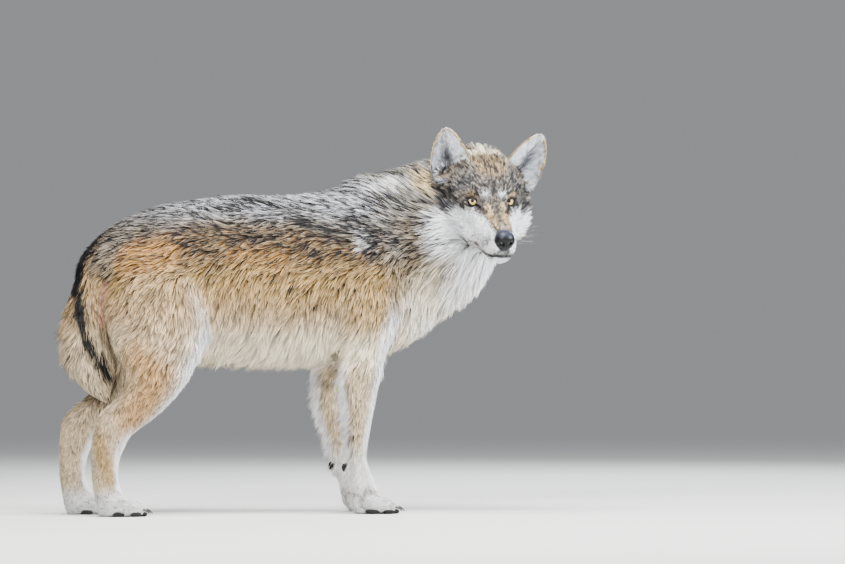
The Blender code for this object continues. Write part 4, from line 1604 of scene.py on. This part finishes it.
class Pads:
    """The dark leather pads under the paws and behind the wrists."""

    finish = LeatherFinish("pad_leather", tone(13, 12, 13), tone(34, 31, 31), 0.0011, 0.0004, (0.6, 0.85))
    roundness = 0.8
    sole = 0.0004  # the lowest that a pad reaches
    rings = 12
    columns = 20

    def build(self) -> None:
        """Makes the pads."""
        leather = self.finish.material()
        for paw in PAWS:
            points, faces = [], []
            for middle, radii in paw.pads():
                ball, triangles = self.flat_ball(middle + SHIFT, radii)
                faces.append(triangles + sum(len(p) for p in points))
                points.append(ball)
            name = f"{paw.side.word}_{paw.limb}_pads"
            mesh = mesh_of(name, np.concatenate(points), np.concatenate(faces))
            add_piece(name, mesh, leather)
        for side in Side:
            rounded(f"{side.word}_wrist_leather", [f"{side.word}_wrist_pad"], leather)

    def flat_ball(self, middle: Array, radii: tuple) -> tuple[Array, Array]:
        """A squashed ball, flat where it stands."""
        ball = sphere(self.rings, self.columns)[:, (1, 2, 0)]
        points = middle + np.sign(ball) * np.abs(ball) ** self.roundness * np.array(radii)
        points[:, 2] = np.maximum(points[:, 2], self.sole)
        return points, outward_faces(points, tube_faces(self.rings + 1, self.columns), middle)


# ---- coat


@dataclass
class Roots:
    """Where the tufts stand, and what each has from the skin."""

    place: Array
    normal: Array
    flow: Array
    depth: Array
    length: Array
    width: Array
    region: Array
    ground: Array
    ticks: Array
    uv: Array

    def picked(self, keep: Array) -> "Roots":
        """Only some of the roots."""
        return Roots(*(getattr(self, name)[keep] for name in self.__dataclass_fields__))


@dataclass(frozen=True)
class TuftShape:
    """A closed three-sided tuft, pointed at its tip: rings of three points along its spine, then the tip."""

    rings: tuple  # (which point of the spine, share of the width)
    faces: tuple
    rise: tuple  # how far along the tuft each point is
    patch: tuple  # each point's place on the tuft's own patch of the baking map

    def placed(self, spine: Array, top: Array, width: Array) -> tuple[Array, Array]:
        """The points of many tufts, and the directions that they are lit from.

        Args:
            spine: Each tuft's root, middle and tip.
            top: The outward direction at each of those.
            width: Each tuft's width.
        Returns:
            The points and their shading normals.
        """
        count = len(spine)
        points = np.empty((count, len(self.rise), 3))
        normals = np.empty((count, len(self.rise), 3))
        for k, (knot, share) in enumerate(self.rings):
            ahead = spine[:, min(knot + 1, 2)] if len(self.rings) > 1 else spine[:, 2]
            along = unit(ahead - spine[:, knot])
            across = unit(np.cross(along, top[:, knot]))
            outward = np.cross(across, along)
            half = (width * share * 0.5)[:, None]
            for corner, (side, ridge) in enumerate(((-1.0, 0.0), (0.0, 0.9), (1.0, 0.0))):
                points[:, k * 3 + corner] = spine[:, knot] + across * half * side + outward * half * ridge
                normals[:, k * 3 + corner] = top[:, knot] * (0.6 if side else 1.0) + across * 0.55 * side
        points[:, -1] = spine[:, 2]
        normals[:, -1] = top[:, 2]
        return points, normals


CURVED = TuftShape(
    ((0, 0.85), (1, 1.0)),
    (
        (0, 4, 3), (0, 1, 4), (1, 5, 4), (1, 2, 5), (2, 3, 5), (2, 0, 3),
        (3, 4, 6), (4, 5, 6), (5, 3, 6), (0, 2, 1),
    ),
    (0.0, 0.0, 0.0, 0.5, 0.5, 0.5, 1.0),
    ((-1, -1), (0, -1), (1, -1), (-1, 0), (0, 0), (1, 0), (0, 1)),
)
STRAIGHT = TuftShape(
    ((0, 1.0),),
    ((0, 1, 3), (1, 2, 3), (2, 0, 3), (0, 2, 1)),
    (0.0, 0.0, 0.0, 1.0),
    ((-1, -1), (0, -1), (1, -1), (0, 1)),
)


@dataclass
class Coat:
    """The fur: closed three-sided tufts that lie along the body and lean together in locks."""

    piece_limit: int = 190000  # triangles in one piece
    clump_share: int = 26  # tufts in a clump
    clump_pull: float = 0.36  # how far its tips are drawn together
    lock_share: int = 5  # tufts in a lock
    lock_pull: float = 0.46
    curved_share: float = 0.16  # of the longest tufts, the rest are straight
    sway: float = 0.22
    patch_half: float = 0.0015  # half the width of a tuft's patch on the baking map
    tips_clear: float = 1.75  # how far out from the lids' edge no tip may hang
    roots_clear: float = 1.95  # and no root may stand
    root_sunk: float = 0.0008  # how deep a root is in the skin
    least_rise: float = 0.0006  # the nearest that a tuft lies to the skin
    seed: int = 4

    def build(self, surface: Surface) -> None:
        """Grows the coat on a skin.

        Args:
            surface: The skin.
        """
        rng = np.random.default_rng(self.seed)
        roots = self.sown(surface, rng)
        roots = roots.picked(self.has_fur(roots))
        spines, tops, lock = self.spines(roots, surface, rng)
        clear = clear_of_eyes(spines[:, 2], self.tips_clear)
        lock = (np.cumsum(clear) - 1)[lock]
        roots, spines, tops, lock = roots.picked(clear), spines[clear], tops[clear], lock[clear]
        hair = self.tones(roots, lock, rng)
        material = PeltFinish().material("pelt_coat")
        curved = rng.random(len(roots.place)) < self.curved_share * ramp(roots.length, 0.018, 0.034)
        for name, chosen in self.parted(roots, curved):
            self.piece(name, chosen, roots, spines, tops, hair, curved, material)
        LOG.info("%d tufts, %d curved", len(curved), curved.sum())

    def sown(self, surface: Surface, rng: np.random.Generator) -> Roots:
        """Roots spread over the skin as closely as each region's spacing asks.

        Args:
            surface: The skin.
            rng: The coat's random numbers.
        Returns:
            The roots.
        """
        area = np.linalg.norm(spans(surface.points, surface.faces), axis=1) / 2
        wanted = area / surface.spacing[surface.faces].mean(1) ** 2
        total = np.cumsum(wanted)
        count = int(total[-1])
        chosen = np.searchsorted(total, (np.arange(count) + rng.random(count)) * total[-1] / count)
        chosen = np.clip(chosen, 0, len(area) - 1)
        s, t = rng.random(count), rng.random(count)
        over = s + t > 1
        s[over], t[over] = 1 - s[over], 1 - t[over]
        shares = np.stack((1 - s - t, s, t), 1)[:, :, None]
        corners = surface.faces[chosen]

        def read(values: Array) -> Array:
            """Values at the roots, from the skin's points."""
            flat = values if values.ndim == 2 else values[:, None]
            mixed = (flat[corners] * shares).sum(1)
            return mixed if values.ndim == 2 else mixed[:, 0]

        return Roots(
            read(surface.points), unit(read(surface.normals)), unit(read(surface.flow)), read(surface.depth),
            read(surface.length), read(surface.width), surface.region[corners[:, 0]], read(surface.ground),
            read(surface.ticks), (surface.bake_uv[chosen] * shares).sum(1),
        )

    @staticmethod
    def has_fur(roots: Roots) -> Array:
        """False on the eyes and lids, behind the nose and under the paws."""
        keep = clear_of_eyes(roots.place, Coat.roots_clear)
        nose = (HEAD.read(roots.place) - np.array(Nose.middle)) / np.array(Nose.radii)
        keep &= np.linalg.norm(nose, axis=1) > 0.97
        keep &= (roots.place[:, 2] > 0.006) | (roots.normal[:, 2] > -0.2)
        return keep & (roots.place[:, 2] > 0.0015)

    def spines(
        self, roots: Roots, surface: Surface, rng: np.random.Generator
    ) -> tuple[Array, Array, Array]:
        """The tufts' lines, with the markings read where each tuft shows.

        Args:
            roots: The tufts' roots.
            surface: The skin.
            rng: The coat's random numbers.
        Returns:
            Each tuft's root, middle and tip, the skin's outward direction at each, and its two leaders.
        """
        count = len(roots.place)
        tree = BVHTree.FromPolygons(surface.points.tolist(), surface.faces.tolist())
        face_normals = unit(surface.normals[surface.faces].sum(1))
        drift = np.stack([Grain(0.045, 20 + k).at(roots.place) - 0.5 for k in range(3)], 1)
        flow = roots.flow + drift * 0.9 + rng.normal(0, self.sway * 0.5, (count, 3))
        flow = unit(flow - roots.normal * (flow * roots.normal).sum(1)[:, None])
        length = roots.length * rng.uniform(0.72, 1.15, count)
        rise = roots.depth * rng.uniform(0.55, 1.0, count)
        stand = self.standing(roots, rng)
        places, normals = [roots.place - roots.normal * self.root_sunk], [roots.normal]
        ground, ticks = 0.0, 0.0
        for share, lift in ((0.5, 0.62), (1.0, 1.0)):
            reach = roots.place + flow * (length * share)[:, None]
            found = [tree.find_nearest(p)[:3] for p in reach.tolist()]
            on_skin = np.array([f[0] for f in found])
            under = np.array([f[2] for f in found])
            normal = face_normals[under]
            places.append(on_skin + normal * (rise * lift + stand * share**2 + self.least_rise)[:, None])
            normals.append(normal)
            ground = ground + surface.ground[surface.faces[under]].mean(1) / 2
            ticks = ticks + surface.ticks[surface.faces[under]].mean(1) / 2
        roots.ground, roots.ticks = ground, ticks
        places, normals = np.stack(places, 1), np.stack(normals, 1)
        places, lock = self.locked(places, roots, rng)
        return places, normals, lock

    def locked(
        self, places: Array, roots: Roots, rng: np.random.Generator
    ) -> tuple[Array, Array]:
        """The tufts drawn together in clumps and these in locks, more towards their tips.

        Args:
            places: Each tuft's root, middle and tip.
            roots: The tufts' roots.
            rng: The coat's random numbers.
        Returns:
            The drawn places, and the leaders of each tuft's clump and lock.
        """
        count = len(places)
        both = []
        for share, strength in ((self.clump_share, self.clump_pull), (self.lock_share, self.lock_pull)):
            leaders = rng.choice(count, count // share, replace=False)
            tree = KDTree(len(leaders))
            for i, leader in enumerate(leaders):
                tree.insert(places[leader, 1], i)
            tree.balance()
            own = leaders[np.array([tree.find(p)[1] for p in places[:, 1].tolist()])]
            gap = np.linalg.norm(places[own, 2] - places[:, 2], axis=1)
            near = ramp(gap, 1.4 * roots.length, 0.5 * roots.length)
            pull = strength * near * ramp(roots.length, 0.005, 0.03)
            places[:, 2] = blend(places[:, 2], places[own, 2], pull)
            places[:, 1] = blend(places[:, 1], places[own, 1], pull * 0.3)
            both.append(own)
        return places, np.stack(both, 1)

    @staticmethod
    def ranked(values: Array) -> Array:
        """Each value's rank among them all, from 0 to 1."""
        order = np.empty(len(values))
        order[np.argsort(values)] = np.arange(len(values)) / len(values)
        return order

    def tones(self, roots: Roots, lock: Array, rng: np.random.Generator) -> Array:
        """The tufts' own tones, much alike within a lock and a clump.

        Args:
            roots: The tufts' roots.
            lock: The leaders of each tuft's clump and lock.
            rng: The coat's random numbers.
        Returns:
            How black each tuft's tip is, and its lightness.
        """
        clump, mate = lock.T
        coarse = Grain(0.010, 7).at(roots.place * np.array((0.5, 1.0, 1.0)))
        fine = Grain(0.0045, 9).at(roots.place * np.array((0.6, 1.0, 1.0)))
        on_head = among(roots.region, Region.HEAD)
        streaks = blend(coarse, fine, on_head)

        def mixed(wide: float, near: float, own: float) -> Array:
            """Chance shared by a clump, by a lock and by none."""
            wide_chance, near_chance, own_chance = rng.random((3, len(clump)))
            shared = np.where(on_head, 0.7, 0.0) * own
            in_lock = (near + shared) * near_chance[mate]
            return wide * wide_chance[clump] + in_lock + (own - shared) * own_chance

        black = ramp(self.ranked(0.22 * streaks + mixed(0.08, 0.30, 0.40)) - (1 - roots.ticks), -0.02, 0.04)
        spread = np.where(on_head, 1.0, 0.5 + 0.5 * ramp(roots.length, 0.008, 0.024))
        return np.column_stack((black, 0.5 + (self.ranked(mixed(0.26, 0.44, 0.30)) - 0.5) * spread))

    def standing(self, roots: Roots, rng: np.random.Generator) -> Array:
        """How the fringes stand out.

        Args:
            roots: The tufts' roots.
            rng: The coat's random numbers.
        Returns:
            How far each tuft stands past the coat's depth, in metres.
        """
        height = roots.place[:, 2]
        back, under = ramp(roots.normal[:, 0], -0.30, -0.85), ramp(roots.normal[:, 2], -0.15, -0.65)
        reach = {
            Region.FOREARM: 0.026 * back * ramp(height, 0.095, 0.115),
            Region.TRUNK: 0.024 * under,
            Region.TAIL: 0.024 * back * ramp(height, 0.50, 0.44) * ramp(height, 0.30, 0.36),
            Region.THIGH: 0.006 * back,
            Region.NECK: 0.010 * under,
        }
        out = np.zeros(len(height))
        for kind, far in reach.items():
            out = np.where(among(roots.region, kind), far, out)
        out = out * rng.random(len(out)) ** 1.5
        for side in Side:
            out = np.maximum(out, ramp(wrist_pad_gap(roots.place, side, 0.010), 0.022, 0.010) * 0.013)
        return out

    def parted(self, roots: Roots, curved: Array) -> list[tuple[str, Array]]:
        """The coat parted into pieces, none with more triangles than its limit.

        Args:
            roots: The tufts' roots.
            curved: True for a tuft with a bend.
        Returns:
            Each piece's name and its tufts' numbers.
        """
        right = (roots.place - SHIFT)[:, 1] < 0
        top, low = roots.normal[:, 2] > 0.55, roots.normal[:, 2] < -0.35
        face = HEAD.read(roots.place)[:, 0] > -0.03
        head, trunk = among(roots.region, Region.HEAD), among(roots.region, Region.TRUNK)

        def sides(name: str, chosen: Array) -> dict[str, Array]:
            """Two pieces by name, one a side."""
            return {f"right_{name}": chosen & right, f"left_{name}": chosen & ~right}

        groups = {
            "face_coat": head & face,
            "ruff_coat": head & ~face,
            "ear_coat": among(roots.region, Region.EAR),
            **sides("neck_coat", among(roots.region, Region.NECK)),
            "back_coat": trunk & top,
            "belly_coat": trunk & low,
            **sides("flank_coat", trunk & ~top & ~low),
            "tail_coat": among(roots.region, Region.TAIL),
            **sides("thigh_coat", among(roots.region, Region.THIGH)),
            **sides("foreleg_coat", among(roots.region, Region.FOREARM, Region.FORE_PAW)),
            **sides("hind_leg_coat", among(roots.region, Region.SHANK, Region.HOCK, Region.HIND_PAW)),
        }
        parts = []
        for name, chosen in groups.items():
            numbers = np.flatnonzero(chosen)
            triangles = 4 * len(numbers) + 6 * int(curved[numbers].sum())
            shares = math.ceil(triangles * 1.04 / self.piece_limit)
            ordered = numbers[np.argsort(roots.place[numbers, 0], kind="stable")]
            for k, part in enumerate(np.array_split(ordered, shares), 1):
                parts.append((name if shares == 1 else f"{name}_{k}", part))
        return parts

    def piece(
        self, name: str, chosen: Array, roots: Roots, spines: Array, tops: Array,
        hair: Array, curved: Array, material: Material,
    ) -> Object:
        """One piece of the coat.

        Args:
            name: Its name.
            chosen: Its tufts' numbers.
            roots: The tufts' roots.
            spines: Each tuft's root, middle and tip.
            tops: The outward direction at each of those.
            hair: Each tuft's black tip and lightness.
            curved: True for a tuft with a bend.
            material: The coat's material.
        Returns:
            The piece.
        """
        parts, start = [], 0
        for shape in (CURVED, STRAIGHT):
            mine = chosen[curved[chosen] == (shape is CURVED)]
            made, lit = shape.placed(spines[mine], tops[mine], roots.width[mine])
            per = len(shape.rise)
            corners = np.arange(len(mine))[:, None, None] * per + np.array(shape.faces)
            parts.append((
                made.reshape(-1, 3),
                lit.reshape(-1, 3),
                corners.reshape(-1, 3) + start,
                np.tile(shape.rise, len(mine)),
                np.repeat(mine, per),
                np.tile(np.array(shape.patch) * self.patch_half, (len(mine), 1)),
            ))
            start += per * len(mine)
        points, normals, faces, rise, owner, patch = (np.concatenate(part) for part in zip(*parts))
        mesh = mesh_of(name, points, faces)
        colour_attribute(mesh, "Hair", np.column_stack((rise, hair[owner], np.ones(len(owner)))))
        colour_attribute(mesh, "Ground", np.column_stack((roots.ground, under_fur(roots.ground)))[owner])
        uv = np.clip(roots.uv[owner] + patch, 0, 1)
        layer = mesh.uv_layers.new(name=BAKE_MAP)
        layer.data.foreach_set("uv", np.ascontiguousarray(uv[faces.ravel()], np.float32).ravel())
        mesh.normals_split_custom_set_from_vertices(unit(normals))
        obj = add_piece(name, mesh, material)
        return obj


# ---- whiskers


@dataclass(frozen=True)
class Whiskers:
    """The long stiff hairs of the muzzle and brows, grown by Geometry Nodes from points on the skin."""

    radius: float = 0.0002
    tip_radius: float = 0.00006
    sides: int = 5
    seed: int = 8

    def roots(self, surface: Surface) -> tuple[Array, Array]:
        """Each whisker's root on the skin and its reach to its tip."""
        rng = np.random.default_rng(self.seed)
        tree = BVHTree.FromPolygons(surface.points.tolist(), surface.faces.tolist())
        places, reaches = [], []
        for side in Side:
            for row in range(2):
                for k in range(3):
                    ahead, up = 0.096 - 0.016 * k + 0.002 * row, -0.044 - 0.014 * row
                    spot = HEAD.place((ahead, 0.050 * side.value, up))
                    length = 0.040 + 0.014 * k + rng.uniform(-0.006, 0.006)
                    forward = 0.10 - 0.25 * k + rng.normal(0, 0.1)
                    upward = 0.10 - 0.30 * row + rng.normal(0, 0.1)
                    places.append(np.array(tree.find_nearest(Vector(spot))[0]))
                    reaches.append(HEAD.aim((forward, side.value, upward)) * length)
            for k in range(3):
                spot = HEAD.place((0.03, (0.045 + 0.006 * k) * side.value, 0.045))
                places.append(np.array(tree.find_nearest(Vector(spot))[0]))
                reaches.append(HEAD.aim((0.6, 0.35 * side.value, 0.8 + 0.1 * k)) * 0.026)
        return np.array(places), np.array(reaches)

    def build(self, surface: Surface) -> Object:
        """Makes the whiskers on a skin."""
        places, reaches = self.roots(surface)
        mesh = bpy.data.meshes.new("whisker_roots")
        mesh.from_pydata(places.tolist(), [], [])
        reach = mesh.attributes.new("reach", "FLOAT_VECTOR", "POINT")
        reach.data.foreach_set("vector", reaches.ravel())
        material = WhiskerFinish().material()
        group, radius = self.tree(material)
        made = changed(mesh, "NODES", {"node_group": group, radius: self.radius})
        made.name = "whiskers"
        made.shade_smooth()
        return add_piece("whiskers", made, material)

    def tree(self, material: Material) -> tuple[NodeTree, str]:
        """The tree that grows a whisker from each point along its reach.

        Args:
            material: The whiskers' material.
        Returns:
            The node group, and the identifier of its Radius input.
        """
        group = bpy.data.node_groups.new("Whiskers", "GeometryNodeTree")
        sockets = group.interface
        sockets.new_socket("Geometry", in_out="INPUT", socket_type="NodeSocketGeometry")
        radius = sockets.new_socket("Radius", in_out="INPUT", socket_type="NodeSocketFloat")
        sockets.new_socket("Geometry", in_out="OUTPUT", socket_type="NodeSocketGeometry")

        def made(kind: str, values: dict, settings: dict | None = None, out: object = 0) -> NodeSocket:
            """One output of a new node."""
            return add_node(group, kind, settings, values).outputs[out]

        start = add_node(group, "NodeGroupInput").outputs
        cone = made("GeometryNodeMeshCone", {
            "Vertices": self.sides,
            "Side Segments": 4,
            "Depth": 1.0,
            "Radius Top": self.tip_radius,
            "Radius Bottom": start["Radius"],
        }, None, "Mesh")
        vector = {"data_type": "FLOAT_VECTOR"}
        reach = made("GeometryNodeInputNamedAttribute", {"Name": "reach"}, vector, "Attribute")
        turn = made("FunctionNodeAlignRotationToVector", {"Vector": reach}, {"axis": "Z"}, "Rotation")
        long = made("ShaderNodeVectorMath", {0: reach}, {"operation": "LENGTH"}, "Value")
        size = made("ShaderNodeCombineXYZ", {0: 1.0, 1: 1.0, 2: long})
        places = {"Points": start["Geometry"], "Instance": cone, "Rotation": turn, "Scale": size}
        each = made("GeometryNodeInstanceOnPoints", places)
        real = made("GeometryNodeRealizeInstances", {"Geometry": each})
        paint = made("GeometryNodeSetMaterial", {"Geometry": real, "Material": material})
        add_node(group, "NodeGroupOutput", None, {"Geometry": paint})
        return group, radius.identifier


# ---- studio


@dataclass(frozen=True)
class Studio:
    """The pale floor, the soft light and the camera."""

    distance: float = 12.0
    towards: tuple = (-0.2756, -0.9613, 0.0)
    camera_height: float = 0.45
    aim_height: float = 0.5027
    aim_side: float = 0.3955
    view_width: float = 1.831
    sky: tuple = (0.86, 0.88, 0.92)
    dark: tuple = (0.0, 0.0, 0.0, 1.0)
    sky_strength: float = 0.34
    floor_half: float = 40.0
    sensor: float = 36.0  # the camera's width, in millimetres
    sees_to: float = 200.0

    def build(self) -> None:
        """Sets the stage."""
        self.floor()
        self.lights()
        self.camera()

    def floor(self) -> None:
        """A wide pale floor with a faint grain."""
        mesh = bpy.data.meshes.new("floor")
        far = self.floor_half
        mesh.from_pydata([(-far, -far, 0), (far, -far, 0), (far, far, 0), (-far, far, 0)], [], [(0, 1, 2, 3)])
        obj = linked("floor", mesh)
        tree = Tree("studio_floor")
        out = tree.number("ShaderNodeVectorMath", {"operation": "LENGTH"}, {0: tree.place()}, "Value")
        far = out.step(1.5, 9.0)
        colour = tree.mix((0.68, 0.68, 0.67, 1.0), (0.72, 0.72, 0.71, 1.0), tree.noise(3.0))
        sky = (*(c * self.sky_strength for c in self.sky), 1.0)
        mesh.materials.append(tree.surface({
            "Base Color": tree.mix(colour, self.dark, far),
            "Roughness": 0.9,
            "Specular IOR Level": 0.0,
            "Emission Color": tree.mix(self.dark, sky, far),
            "Emission Strength": 1.0,
        }))

    def lights(self) -> None:
        """A pale sky and four large soft lamps."""
        world = bpy.data.worlds.new("studio_sky")
        bpy.context.scene.world = world
        world.use_nodes = True
        sky = world.node_tree.nodes["Background"]
        sky.inputs["Color"].default_value = (*self.sky, 1.0)
        sky.inputs["Strength"].default_value = self.sky_strength
        lamps = (
            ("overhead", (-0.2, -1.0, 3.2), (0.0, 0.0, 0.45), 1.8, 260.0, (1.0, 0.99, 0.97)),
            ("key", (-2.0, -3.6, 2.6), (0.0, 0.0, 0.45), 1.2, 260.0, (1.0, 0.98, 0.95)),
            ("fill", (3.4, -2.6, 2.0), (0.2, 0.0, 0.5), 1.4, 430.0, (0.95, 0.98, 1.0)),
            ("rim", (1.8, 2.8, 2.2), (0.0, 0.0, 0.5), 1.4, 110.0, (0.93, 0.96, 1.0)),
        )
        for name, place, target, size, power, colour in lamps:
            lamp = bpy.data.lights.new(name, "AREA")
            lamp.shape = "DISK"
            lamp.size, lamp.energy, lamp.color = size, power, colour
            obj = linked(name, lamp)
            obj.location = place
            obj.rotation_euler = (Vector(target) - Vector(place)).to_track_quat("-Z", "Y").to_euler()

    def camera(self) -> None:
        """A long lens, level with the animal's chest."""
        towards = np.array(self.towards)
        right = np.array((-towards[1], towards[0], 0.0))
        aim = right * self.aim_side + np.array((0.0, 0.0, self.aim_height)) + SHIFT
        place = aim + towards * self.distance
        place[2] = self.camera_height
        data = bpy.data.cameras.new("camera")
        data.sensor_width = self.sensor
        data.lens = self.sensor * self.distance / self.view_width
        data.clip_end = self.sees_to
        obj = linked("camera", data)
        obj.location = place
        obj.rotation_euler = Vector(aim - place).to_track_quat("-Z", "Y").to_euler()
        bpy.context.scene.camera = obj


# ---- the whole animal


def main() -> None:
    """Builds the wolf and its studio in order."""
    logging.basicConfig(level=logging.INFO, format="%(message)s")
    Studio().build()
    skin, surface = Skin().build()
    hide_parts(*FLESH)
    lid_finish = LeatherFinish("lid_skin", tone(8, 7, 7), tone(20, 17, 16), 0.001, 0.0002, (0.45, 0.6))
    lid_skin = lid_finish.material()
    for side in Side:
        eye = Eye(side)
        eye.ball()
        eye.lids(lid_skin)
    Nose().build()
    Claws().build()
    Pads().build()
    Coat().build(surface)
    Whiskers().build(surface)
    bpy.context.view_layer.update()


if __name__ == "__main__":
    main()
